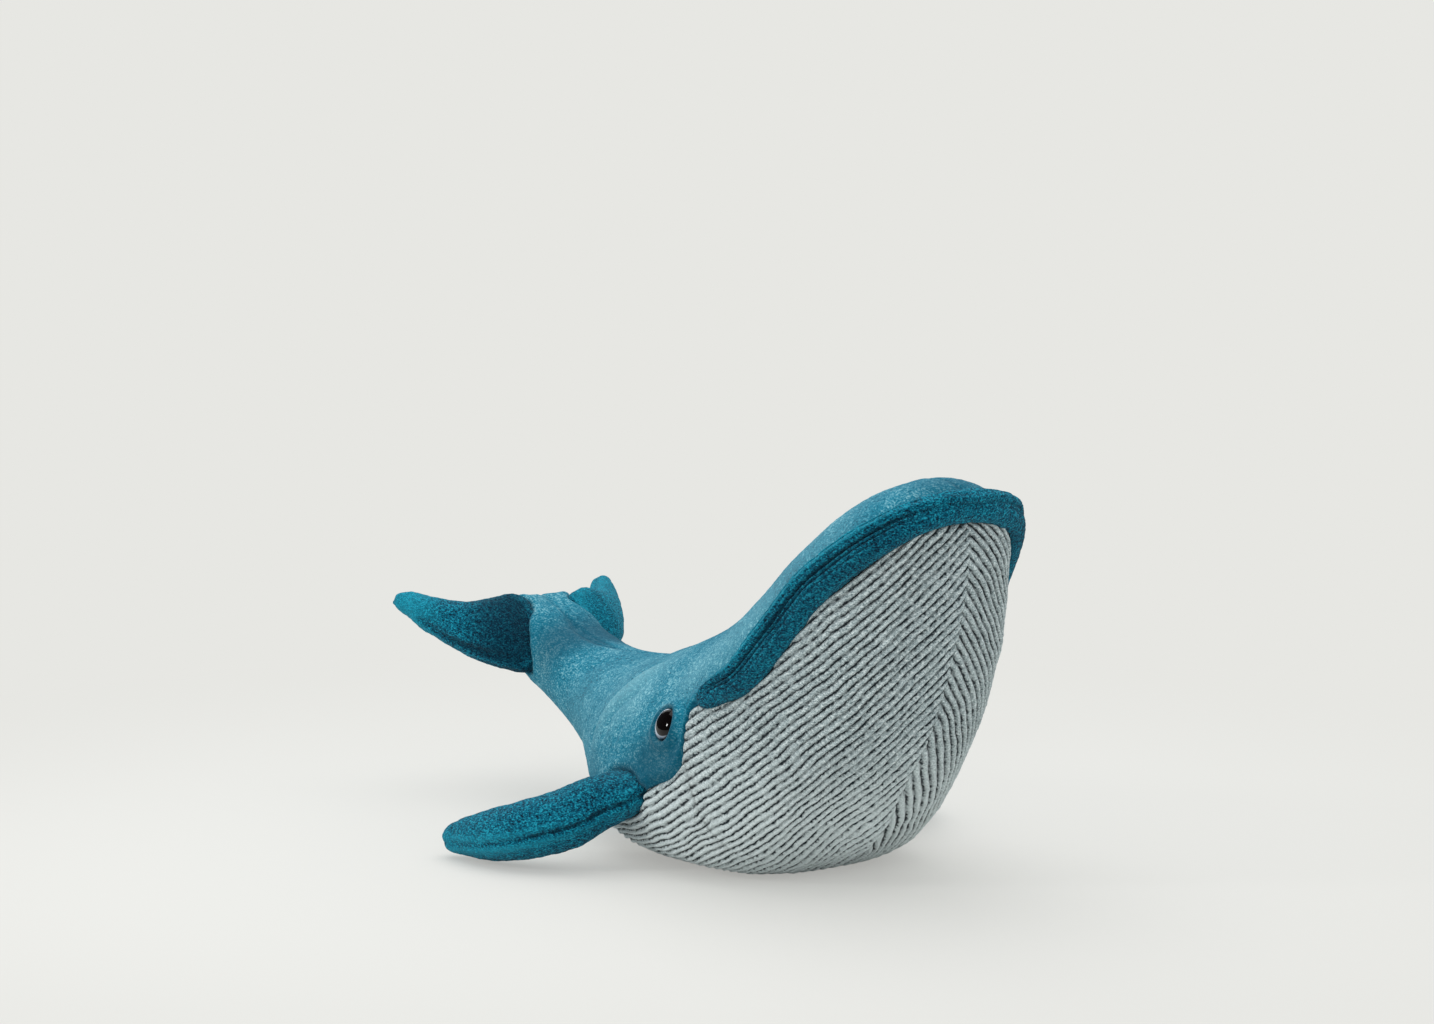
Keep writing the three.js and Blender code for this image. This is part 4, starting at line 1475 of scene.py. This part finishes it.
@dataclass
class LipRoll:
    """The padded roll round the upper jaw, with its sewn channels."""

    form: BodyForm
    half_width: float = 0.012
    thickness: float = 0.0076
    root: float = 0.003
    end_round: float = 0.016
    stations: int = 420
    profile: int = 57
    under_columns: int = 13
    under_width: float = 0.97
    fine_steps: int = 4000
    searched: tuple[float, float, float] = (0.02, 8.0, 0.0015)
    searched_turn: float = 2.6
    searched_columns: int = 320
    evenings: int = 6
    places: Line = (
        (0.114, 0.892, 0.44),
        (0.152, 0.875, 0.487),
        (0.185, 0.859, 0.518),
        (0.215, 0.827, 0.57),
        (0.245, 0.785, 0.636),
        (0.271, 0.745, 0.693),
        (0.298, 0.698, 0.751),
        (0.328, 0.644, 0.799),
        (0.363, 0.562, 0.85),
        (0.401, 0.427, 0.904),
        (0.421, 0.22, 0.936),
        (0.425, 0.0, 0.944),
    )
    widths: tuple[float, ...] = (0.5, 0.96, 0.98, 0.86, 0.78, 0.86, 0.98, 0.96, 0.5)

    # over the roll's width, from -1 at the belly to 1 at the back
    ridges: tuple[Bell, ...] = ((0.2, 0.5, 0.28), (0.08, 0.86, 0.07))
    channels: tuple[Bell, ...] = (
        (0.4, 0.1, 0.08),
        (0.26, -0.16, 0.055),
        (0.14, -0.42, 0.05),
        (0.13, 0.38, 0.05),
        (0.12, 0.76, 0.045),
    )
    # painted shade in and beside the channels and over the lower band, painted highlight on the
    # upper band and its top edge
    marks: tuple[Bell, ...] = (
        (-0.95, 0.1, 0.08),
        (-0.75, -0.16, 0.06),
        (-0.5, -0.42, 0.055),
        (-0.45, 0.38, 0.05),
        (-0.4, 0.0, 0.3),
        (-0.55, -0.75, 0.3),
        (0.35, -0.03, 0.035),
        (0.9, 0.88, 0.1),
        (0.75, 0.6, 0.18),
    )
    lumps: tuple[Grain, ...] = (
        (0.0003, 0.003, 31),
        (0.0002, 0.0016, 32),
        (0.0006, 0.02, 33),
    )

    def path(self) -> tuple[Array, Array]:
        """The roll's line on the body.

        Returns:
            Evenly spaced points, and their outward directions.
        """
        right = np.array(self.places) * [self.form.length, self.form.half_width, self.form.height]
        points = self.form.place(*right.T)
        points = np.concatenate([points, points[-2::-1] * Side.LEFT.flip])
        fine = smooth_rows(points, np.linspace(0, len(points) - 1, self.fine_steps))
        run = run_along(fine)
        even = np.linspace(0, run[-1], self.stations)
        path = np.stack([np.interp(even, run, fine[:, k]) for k in range(3)], axis=1)
        at = self.form.stations(*self.searched)
        angle = np.linspace(-self.searched_turn, self.searched_turn, self.searched_columns)
        surface = self.form.point(at[:, None], angle[None, :])
        flat, flat_normals = surface.reshape(-1, 3), grid_normals(surface).reshape(-1, 3)
        tree = point_tree(flat)
        nearest = [tree.find(point)[1] for point in path]
        normal = flat_normals[nearest]
        for _ in range(self.evenings):
            normal[1:-1] = (normal[:-2] + 2 * normal[1:-1] + normal[2:]) / 4
        normal = unit(normal)
        gap = np.sum((path - flat[nearest]) * normal, axis=1, keepdims=True)
        return path - gap * normal, normal

    def height(self, share: Array, along: Array) -> tuple[Array, Array]:
        """The roll's height over its width, and the painted shade and highlight across it.

        Args:
            share: Place across the roll, from -1 at the belly to 1 at the back.
            along: Place along the roll, 0 at either end and 1 at the nose.

        Returns:
            The height as a share of the thickness, and the painted shading.
        """
        swell = np.sqrt(np.maximum(1 - np.abs(share) ** 2.8, 0))
        sewn = eased(0.03, 0.16, along) * (1 - 0.7 * eased(0.7, 0.92, along))
        height = swell + bells(share, *self.ridges) - bells(share, *self.channels) * sewn
        return height, bells(share, *self.marks) * np.maximum(sewn, 0.3)

    def build(self) -> bpy.types.Object:
        """Builds the roll as one closed form.

        Returns:
            The roll.
        """
        path, normal = self.path()
        across = unit(np.cross(normal, unit(np.gradient(path, axis=0))))
        run = run_along(path)
        from_end = np.minimum(run, run[-1] - run)
        end = np.sqrt(1 - np.maximum(1 - from_end / self.end_round, 0) ** 2)
        share_along = run / run[-1] * (len(self.widths) - 1)
        width = smooth_rows(np.array(self.widths)[:, None], share_along)[:, 0]
        half = self.half_width * width * np.maximum(end, 0.02)
        top = np.sin(np.linspace(-1, 1, self.profile) * math.pi / 2)
        share = np.broadcast_to(top[None, :], (self.stations, self.profile))
        height, pressed = self.height(share, 2 * from_end[:, None] / run[-1])
        height = self.thickness * height * end[:, None]
        half, reach = half[:, None, None], across[:, None]
        over = path[:, None] + half * share[..., None] * reach + height[..., None] * normal[:, None]
        back = self.under_width * np.linspace(1, -1, self.under_columns)[None, :, None]
        under = path[:, None] + half * back * reach
        under = under - (self.root * end)[:, None, None] * normal[:, None]
        ring = np.concatenate([over, under], axis=1)
        normals = tube_normals(ring)
        if np.sum(normals[:, self.profile // 2] * normal) < 0:
            normals = -normals
        lumps = uneven(ring, *self.lumps)
        lumps[:, self.profile:] = 0
        ring = ring + lumps[..., None] * normals * end[:, None, None]
        rows, columns = ring.shape[:2]
        roll = mesh_object("lip_padding", ring, tube_faces(rows, columns))
        marks = np.concatenate([pressed, np.zeros((rows, columns - self.profile))], axis=1)
        write_attribute(roll, "pressed", marks)
        face_outward(roll)
        return roll

    def dress(self, finish: bpy.types.Material) -> None:
        """Builds and dresses the roll.

        Args:
            finish: Its fabric.
        """
        roll = self.build()
        dressed(roll, finish)
        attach(roll, "body")
        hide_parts("lip_roll")


# The limbs


@dataclass
class Limb:
    """A flipper or a fluke: a stuffed pad sewn round its edge, in a frame at its root.

    Attributes:
        name: The limb's name in the CAD nodes.
        body: The body that carries it; not used.
        origin: Its hinge's middle on the right side.
        out: Direction from root to tip.
        ahead: Direction from its rear edge to its front edge.
        over: Direction out of its upper face.
        rows: Front edge out and ahead, rear edge out and ahead, thickness, as shares.
        reach: Root to tip, square to the root.
        run: Root to tip along the root.
        thickness: Thickness of the root.
        root_round: Length of the rounding of the end inside the body.
        tip_round: Length of the rounding at the tip.
        seams: Stitched lines on the upper face: out, ahead.
        bend: Where the fabric starts and stops turning with the hinge, along out; not used.
        lift: How far the root and the rest are raised, and where the root's part ends.
        bulge: How far the body's fabric stands proud round the root.
        shade: How much painted shade the pile has at the root and painted light at the tip, on the
            right.
        left_shade: The same on the left.
        edge_depth: Depth of the seam round the edge.
        edge_width: Its width.
        puff: How far the pile makes the pad thicker.
        stitch: Height, width and fade of the stitched lines.
        welt: How the pad stands out beside its edge seam, over its height.
        under_mark: Painted light on the limb's underside, over its height.
        edge_wander: How the edge seam wanders.
        edge_break: How unevenly deep it is.
        lumps: The pad's unevenness.
        pile: The pile's unevenness.
        gather: Where the body's fabric stands out most, from the limb, and how wide.
        sewn_line: The seam that holds the limb, over the distance from it.
        voxel: Size of the pad's faces in the simulation.
        root_reach: How far from the root the body's fabric can touch the limb.
        search: How far from the limb it is looked for.
        surface: The finished right limb, to measure distances from.
    """

    name: str
    body: str
    origin: Place
    out: Direction
    ahead: Direction
    over: Direction
    rows: tuple[tuple[float, ...], ...]
    reach: float
    run: float
    thickness: float
    root_round: float
    tip_round: float
    seams: tuple[tuple[tuple[float, float], ...], ...]
    bend: tuple[float, float]
    lift: tuple[float, float, float]
    bulge: float
    shade: tuple[float, float]
    left_shade: tuple[float, float]
    edge_depth: float = 0.0011
    edge_width: float = 0.0013
    puff: float = 0.0008
    stitch: tuple[float, float, float] = (-0.0013, 0.0018, 0.12)
    welt: Bell = (0.0006, 0.0034, 0.0022)
    under_mark: Bell = (0.3, -0.006, 0.004)
    edge_wander: Grain = (0.0006, 0.006, 45)
    edge_break: Grain = (0.9, 0.005, 46)
    lumps: tuple[Grain, ...] = ((0.0006, 0.02, 41), (0.0003, 0.0075, 42))
    pile: tuple[Grain, ...] = ((0.00022, 0.0026, 43), (0.00015, 0.0015, 44))
    gather: tuple[float, float] = (0.0045, 0.0035)
    sewn_line: Bell = (-0.0012, 0.0, 0.0014)
    root_reach: float = 0.055
    search: float = 0.015
    voxel: float = 0.0035
    turns: int = 48
    steps: int = 40
    cap_steps: int = 8
    stuffing: Stuffing = field(default_factory=lambda: Stuffing(most=0.0035))
    surface: BVHTree | None = None

    def blank(self) -> tuple[Array, list[Face]]:
        """The limb's closed surface in its own frame.

        Returns:
            Its points, and its faces.
        """
        turn = np.linspace(0, 2 * math.pi, self.turns, endpoint=False)
        scale = np.array([self.reach, self.run, self.reach, self.run, self.thickness / 2])
        at = np.linspace(0, len(self.rows) - 1, self.steps)
        rows = smooth_rows(np.array(self.rows) * scale, at)
        front, rear = rows[:, 0:2], rows[:, 2:4]
        centre, half, thick = (front + rear) / 2, (front - rear) / 2, rows[:, 4]
        quarter = np.linspace(0, math.pi / 2, self.cap_steps + 1)[1:]
        rings: list[Array] = []

        def ring(middle: Array, chord: Array, height: float) -> Array:
            """One ring of points about a middle."""
            flat = middle[None] - np.cos(turn)[:, None] * chord[None]
            return np.concatenate([flat, (height * np.sin(turn))[:, None]], axis=1)

        for angle in quarter[::-1]:
            shrink = max(math.cos(angle), 0.02)
            back = centre[0] - np.array([self.root_round * math.sin(angle), 0])
            rings.append(ring(back, half[0] * shrink, thick[0] * shrink))
        rings += [ring(centre[k], half[k], thick[k]) for k in range(self.steps)]
        onward = unit(np.array([half[-1][1], -half[-1][0]]))
        for angle in quarter:
            shrink = max(math.cos(angle), 0.02)
            middle = centre[-1] + onward * self.tip_round * math.sin(angle)
            rings.append(ring(middle, half[-1] * shrink, thick[-1] * shrink))
        return np.array(rings), tube_faces(len(rings), self.turns)

    def frame_matrix(self) -> Matrix:
        """The limb's frame on the right side."""
        rows = np.array([self.out, self.ahead, self.over, self.origin]).T
        return Matrix([*rows.tolist(), [0, 0, 0, 1]])

    def stuffed(self) -> bpy.types.Object:
        """The limb's pad in its own frame, swollen by its filling and finely divided.

        Returns:
            The pad.
        """
        pad = mesh_object(f"{self.name}_pad", *self.blank())
        face_outward(pad)
        only(pad)
        remesh = pad.modifiers.new("even", "REMESH")
        remesh.mode = "VOXEL"
        remesh.voxel_size = self.voxel
        remesh.use_smooth_shade = True
        bpy.ops.object.modifier_apply(modifier=remesh.name)
        self.stuffing.fill(pad, 1 - eased(0.0, 0.012, vertex_places(pad)[:, 0]))
        smooth = pad.modifiers.new("smooth", "CORRECTIVE_SMOOTH")
        smooth.iterations = 3
        smooth.use_only_smooth = True
        bpy.ops.object.modifier_apply(modifier=smooth.name)
        fine = pad.modifiers.new("fine", "SUBSURF")
        fine.levels = fine.render_levels = 2
        bpy.ops.object.modifier_apply(modifier=fine.name)
        return pad

    def sew(self, pad: bpy.types.Object) -> None:
        """Presses the edge seam and the stitched lines into the pad, brushes its pile, and paints
        shade into its seams and light onto its underside.

        Args:
            pad: The pad in its own frame.
        """
        points = vertex_places(pad)
        normals = np.empty(points.size)
        pad.data.vertices.foreach_get("normal", normals)
        normals = normals.reshape(-1, 3)
        ragged = points[:, 2] - uneven(points, self.edge_wander)
        broken = 1 + uneven(points, self.edge_break)
        blunt = 1 - 0.8 * eased(0.7, 0.95, points[:, 0] / self.reach)
        crease = self.edge_depth * bell(ragged, self.edge_width) * broken * blunt
        offset = self.puff - crease + bells(np.abs(points[:, 2]), self.welt)
        for seam in self.seams:
            line = tuple((x, y, 0.0) for x, y in seam)
            stitched = Stroke(line, *self.stitch).offset(points * [1, 1, 0])
            offset += np.where(points[:, 2] > 0, stitched, 0)
        # painted shade in the edge seam and the stitched lines, painted highlight on the welt
        marks = (offset - self.puff) / self.edge_width
        offset += uneven(points, *self.lumps)
        offset += uneven(points, *self.pile)
        moved = points + offset[:, None] * normals
        root, rest, end = self.lift
        moved[:, 2] += root + (rest - root) * eased(0, end, points[:, 0])
        pad.data.vertices.foreach_set("co", moved.ravel())
        # plus painted light on the underside
        write_attribute(pad, "pressed", marks + bells(points[:, 2], self.under_mark))
        write_attribute(pad, "outward", points[:, 0] / self.reach)

    @staticmethod
    def brush(piece: bpy.types.Object, shade: tuple[float, float]) -> None:
        """Paints shade and light onto a limb's pile from its root to its tip.

        Args:
            piece: The limb.
            shade: How much painted shade or light it has at the root and at the tip.
        """
        marks = piece.data.attributes["pressed"].data
        values, outward = np.empty(len(marks)), np.empty(len(marks))
        marks.foreach_get("value", values)
        piece.data.attributes["outward"].data.foreach_get("value", outward)
        values += shade[0] + (shade[1] - shade[0]) * eased(0.1, 1.05, outward)
        marks.foreach_set("value", np.clip(values, -1, 1))

    def gap(self, points: Array) -> Array:
        """How far places on either side of the whale lie outside the limb, near its root.

        Args:
            points: Points of the body's surface.

        Returns:
            One distance for each point, below zero inside the limb and large far from it.
        """
        right = points.reshape(-1, 3).copy()
        right[:, 0] = -np.abs(right[:, 0])
        found = np.full(len(right), 1.0)
        near = np.linalg.norm(right - np.array(self.origin), axis=1) < self.root_reach
        for k in np.flatnonzero(near):
            place, normal, _, distance = self.surface.find_nearest(right[k], self.search)
            if place is not None:
                outside = (Vector(right[k]) - place).dot(normal) >= 0
                found[k] = distance if outside else -distance
        return found.reshape(points.shape[:-1])

    def gathers(self, points: Array) -> Array:
        """How far the body's fabric stands out round the limb's root, on either side.

        Args:
            points: Points of the body's surface.

        Returns:
            One distance for each point; below zero at the seam and inside the limb.
        """
        gap = self.gap(points)
        swell = bells(gap, (self.bulge, *self.gather))
        seam = bells(gap, self.sewn_line)
        inside = -0.002 * (1 - eased(-0.006, -0.002, gap))
        return swell + seam + inside

    def dress(self, finish: bpy.types.Material) -> None:
        """Builds the right limb, mirrors it to the left, and dresses both.

        Args:
            finish: The limbs' fabric.
        """
        pad = self.stuffed()
        self.sew(pad)
        pad.data.transform(self.frame_matrix())
        faces = [tuple(face.vertices) for face in pad.data.polygons]
        self.surface = BVHTree.FromPolygons(vertex_places(pad).tolist(), faces)
        pad.name = f"{self.name}_right_padding"
        other = linked(f"{self.name}_left_padding", pad.data.copy())
        other.data.transform(Matrix.Scale(-1, 4, (1, 0, 0)))
        other.data.flip_normals()
        for side, piece in ((Side.RIGHT, pad), (Side.LEFT, other)):
            # painted shade at the root and painted light at the tip, set apart for each side
            self.brush(piece, self.shade if side is Side.RIGHT else self.left_shade)
            dressed(piece, finish)
            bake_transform(piece)
            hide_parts(*(f"{self.name}_{part}_{side.word}"
                                 for part in ("top_cover", "under_cover", "stuffing")))


FLIPPER = Limb(
    name="flipper",
    body="body",
    origin=(-0.101927, -0.040028, 0.039196),
    out=(-0.9549, 0.057237, -0.29136),
    ahead=(-0.084879, -0.992918, 0.083127),
    over=(-0.284538, 0.104108, 0.952995),
    rows=(
        (-0.26, 0.29, -0.26, -0.28, 0.82),
        (0.0, 0.262, 0.0, -0.262, 0.92),
        (0.17, 0.175, 0.1, -0.308, 1.02),
        (0.36, 0.09, 0.19, -0.37, 1.08),
        (0.58, -0.046, 0.29, -0.46, 1.09),
        (0.76, -0.205, 0.41, -0.561, 1.06),
        (0.9, -0.41, 0.53, -0.686, 0.97),
        (0.975, -0.64, 0.64, -0.824, 0.84),
        (1.0, -0.847, 0.76, -0.95, 0.66),
    ),
    reach=0.07,
    run=0.080,
    thickness=0.031,
    root_round=0.006,
    tip_round=0.013,
    seams=(),
    bend=(-0.012, 0.014),
    lift=(0.0015, -0.0028, 0.028),
    bulge=0.001,
    shade=(-0.3, 0.25),
    left_shade=(-0.3, 0.25),
)

FLUKE = Limb(
    name="fluke",
    body="tail",
    origin=(-0.021522, 0.170282, 0.106413),
    out=(-0.715704, 0.677879, -0.168071),
    ahead=(-0.213161, -0.441189, -0.871731),
    over=(-0.665079, -0.588075, 0.460258),
    rows=(
        (-0.1, 0.36, -0.1, -0.15, 0.12),
        (-0.02, 0.43, -0.02, -0.3, 0.22),
        (0.06, 0.47, 0.06, -0.53, 0.42),
        (0.14, 0.455, 0.14, -0.57, 0.78),
        (0.345, 0.308, 0.3, -0.53, 1.04),
        (0.54, 0.135, 0.506, -0.538, 0.95),
        (0.71, -0.067, 0.69, -0.625, 0.8),
        (0.87, -0.288, 0.862, -0.731, 0.63),
        (1.0, -0.519, 0.989, -0.808, 0.48),
    ),
    reach=0.087,
    run=0.052,
    thickness=0.026,
    root_round=0.004,
    tip_round=0.008,
    seams=(((0.008, 0.0195), (0.03, 0.011), (0.048, 0.002), (0.062, -0.0085), (0.078, -0.0225)),),
    bend=(-0.006, 0.014),
    lift=(-0.006, 0.0, 0.02),
    bulge=0.0012,
    edge_depth=0.0005,
    shade=(-1.0, 0.9),
    left_shade=(0.4, 0.75),
)


# The eyes


@dataclass
class Eyes:
    """The two domed plastic eyes and their stems."""

    place: EyePlace = field(default_factory=EyePlace)
    rim: float = 0.0012
    stem_radius: float = 0.0024
    stem_length: float = 0.012
    sink: float = 0.0022
    pupil_off: Place = (0.0, -0.0025, 0.001)

    def build(self, side: Side) -> bpy.types.Object:
        """Models a dome from a ball, with its rim and stem, and sets it on the body.

        Args:
            side: The eye's side.

        Returns:
            The eye.
        """
        bpy.ops.object.select_all(action="DESELECT")
        bpy.ops.mesh.primitive_uv_sphere_add(segments=48, ring_count=32, radius=self.place.radius)
        eye = bpy.context.active_object
        eye.name = f"eye_dome_{side.word}"
        bpy.ops.object.mode_set(mode="EDIT")
        bpy.ops.mesh.select_all(action="SELECT")
        bpy.ops.mesh.bisect(plane_co=(0, 0, 0), plane_no=(0, 0, 1), clear_inner=True, use_fill=True)
        bpy.ops.mesh.select_all(action="SELECT")
        flatten = self.place.height / self.place.radius
        bpy.ops.transform.resize(value=(1, 1, flatten), center_override=(0, 0, 0))
        bpy.ops.mesh.select_all(action="DESELECT")
        bpy.ops.object.mode_set(mode="OBJECT")
        for face in eye.data.polygons:
            face.select = face.normal.z < -0.9
        bpy.ops.object.mode_set(mode="EDIT")
        self.push(-self.rim)
        bpy.ops.mesh.inset(thickness=self.place.radius - self.stem_radius)
        self.push(-self.stem_length)
        bpy.ops.object.mode_set(mode="OBJECT")
        bpy.ops.object.shade_smooth_by_angle(angle=math.radians(40))
        centre, normal = self.place.on(side)
        places = vertex_places(eye)
        write_attribute(eye, "from_axis", np.linalg.norm(places[:, :2], axis=1))
        turn = Vector((0, 0, 1)).rotation_difference(Vector(normal)).to_matrix().to_4x4()
        seat = Vector(centre - normal * self.sink)
        eye.data.transform(Matrix.Translation(seat) @ turn)
        pupil = np.array(seat) + np.array(self.pupil_off)
        off = vertex_places(eye) - pupil
        flat = off - (off @ normal)[:, None] * normal
        write_attribute(eye, "from_pupil", np.linalg.norm(flat, axis=1))
        return eye

    @staticmethod
    def push(distance: float) -> None:
        """Extrudes the selected faces straight down."""
        bpy.ops.mesh.extrude_region_move(TRANSFORM_OT_translate={"value": (0, 0, distance)})

    def dress(self, finish: bpy.types.Material) -> None:
        """Builds and dresses both eyes.

        Args:
            finish: Their plastic.
        """
        for side in Side:
            eye = self.build(side)
            dressed(eye, finish)
            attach(eye, "body")
            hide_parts(f"eye_{side.word}")


# The studio


@dataclass
class Studio:
    """A pale floor, soft lamps and the camera.

    Attributes:
        backdrop: What the camera sees beyond the floor.
        dim: What reflections see, so that the glossy pupils stay black.
        room: The even light on the whale.
        floor_tone: The floor's own colour.
        glow: From where to where the floor turns into the backdrop, and its share there.
        lamps: Name, place, target, side and watts of each.
    """

    backdrop: Colour = colour(231, 231, 227)
    dim: Colour = colour(60, 62, 66)
    floor_tone: Colour = colour(217, 217, 213)
    floor_size: float = 40.0
    camera_place: Place = (-1.1221, -1.66374, 0.4158)
    camera_heading: Direction = (0.55707, 0.82346, -0.10766)
    lens: float = 84.7
    film: float = 36.0
    glow: tuple[float, float, float, float] = (0.25, 0.75, 0.45, 1.0)
    room: Colour = (0.72, 0.73, 0.74, 1.0)
    lamps: tuple[tuple[str, Place, Place, float, float], ...] = (
        ("soft_top", (0.1, 0.0, 1.9), (0, 0, 0.08), 2.2, 20.0),
        ("soft_front", (-0.9, -2.3, 0.9), (0, 0, 0.1), 1.8, 10.0),
        ("soft_back", (0.6, 1.9, 1.5), (0, 0, 0.1), 1.6, 8.0),
        ("eye_glint", (-1.17, 0.221, 0.508), (-0.087, -0.083, 0.09), 0.15, 3.0),
    )

    def build(self) -> None:
        """Builds the whole studio."""
        self.camera()
        self.floor()
        self.world()
        for lamp in self.lamps:
            self.lamp(*lamp)

    def camera(self) -> None:
        """Adds the camera at the photograph's angle."""
        data = bpy.data.cameras.new("photo_camera")
        data.lens, data.sensor_width = self.lens, self.film
        camera = linked("photo_camera", data)
        camera.location = self.camera_place
        heading = Vector(self.camera_heading)
        camera.rotation_euler = heading.to_track_quat("-Z", "Y").to_euler()
        bpy.context.scene.camera = camera

    def floor(self) -> None:
        """Adds the floor, which fades to the backdrop's colour far from the whale."""
        bpy.ops.object.select_all(action="DESELECT")
        bpy.ops.mesh.primitive_plane_add(size=self.floor_size)
        floor = bpy.context.active_object
        floor.name = "pale_floor"
        wires = MaterialWires("pale_floor")
        wires.feed(wires.shader, {"Base Color": self.floor_tone, "Roughness": 0.9,
                                  "Specular IOR Level": 0.1})
        far = wires.add("VectorMath", {0: wires.place}, operation="LENGTH").outputs["Value"]
        glow = wires.add("Emission", {"Color": self.backdrop, "Strength": 1.0}).outputs[0]
        path = wires.add("LightPath").outputs
        seen = wires.math("MAXIMUM", path["Is Camera Ray"],
                          wires.math("MAXIMUM", path["Is Glossy Ray"], path["Is Transmission Ray"]))
        share = wires.math("MULTIPLY", wires.ranged(far, *self.glow), seen)
        mix = wires.add("MixShader", {0: share, 1: wires.shader.outputs[0], 2: glow})
        wires.feed(wires.tree.nodes["Material Output"], {"Surface": mix.outputs[0]})
        floor.data.materials.append(wires.made)

    def world(self) -> None:
        """Lights the room evenly, shows the camera the backdrop, and keeps reflections dim."""
        world = bpy.data.worlds.new("studio")
        world.use_nodes = True
        wires = Wires(world.node_tree)
        path = wires.add("LightPath").outputs
        seen = wires.math("MAXIMUM", path["Is Camera Ray"], path["Is Transmission Ray"])
        tone = wires.mixed(seen, self.room, self.backdrop)
        tone = wires.mixed(path["Is Glossy Ray"], tone, self.dim)
        wires.feed(world.node_tree.nodes["Background"], {"Color": tone})
        bpy.context.scene.world = world
        bpy.context.scene.view_settings.view_transform = "Standard"

    @staticmethod
    def lamp(name: str, place: Place, target: Place, size: float, power: float) -> None:
        """Adds a square soft lamp.

        Args:
            name: Its name.
            place: Where it hangs.
            target: Where it points.
            size: Length of its side.
            power: Its power in watts.
        """
        data = bpy.data.lights.new(name, "AREA")
        data.size, data.energy = size, power
        lamp = linked(name, data)
        lamp.location = place
        aim = Vector(target) - Vector(place)
        lamp.rotation_euler = aim.to_track_quat("-Z", "Y").to_euler()


BACK_PLUSH = PileFinish(
    name="blue_back_plush",
    deep=colour(0, 68, 90),
    plain=colour(26, 121, 145),
    tip=colour(138, 192, 202),
)

DARK_PLUSH = PileFinish(
    name="dark_blue_plush",
    deep=colour(0, 26, 44),
    plain=colour(0, 90, 115),
    tip=colour(30, 152, 176),
    fibre_scale=950.0,
    tuft_scale=400.0,
    fibres=3.0,
    tufts=1.2,
    patches=0.5,
    relief=0.0009,
    sheen=0.08,
)


def dress_inner_parts() -> None:
    """Gives the parts inside the body their own finishes."""
    cloth = InnerFinish("pouch_cloth", colour(222, 216, 203), colour(196, 188, 172), 1500.0, 0.9)
    plastic = InnerFinish(
        "washer_plastic", colour(233, 233, 229), colour(222, 222, 218), 300.0, 0.5
    ).material()
    for node, made in (
        ("bean_pouch", cloth.material()),
        ("eye_washer_right", plastic),
        ("eye_washer_left", plastic),
    ):
        materials = bpy.data.objects[node].data.materials
        materials.clear()
        materials.append(made)


def main() -> None:
    """Builds the whale and its studio, piece by piece."""
    logging.basicConfig(level=logging.INFO, format="%(name)s: %(message)s")
    Studio().build()
    form = BodyForm()
    filling = Filling(form)
    filling.simulate()
    pile = pile_group()
    back, dark = BACK_PLUSH.material(pile), DARK_PLUSH.material(pile)
    for limb in (FLIPPER, FLUKE):
        limb.dress(dark)
    BodyCovers(form, filling, (FLIPPER, FLUKE)).dress(back, RibbedFinish().material(pile))
    LipRoll(form).dress(dark)
    Eyes().dress(EyeFinish().material())
    dress_inner_parts()


if __name__ == "__main__":
    main()
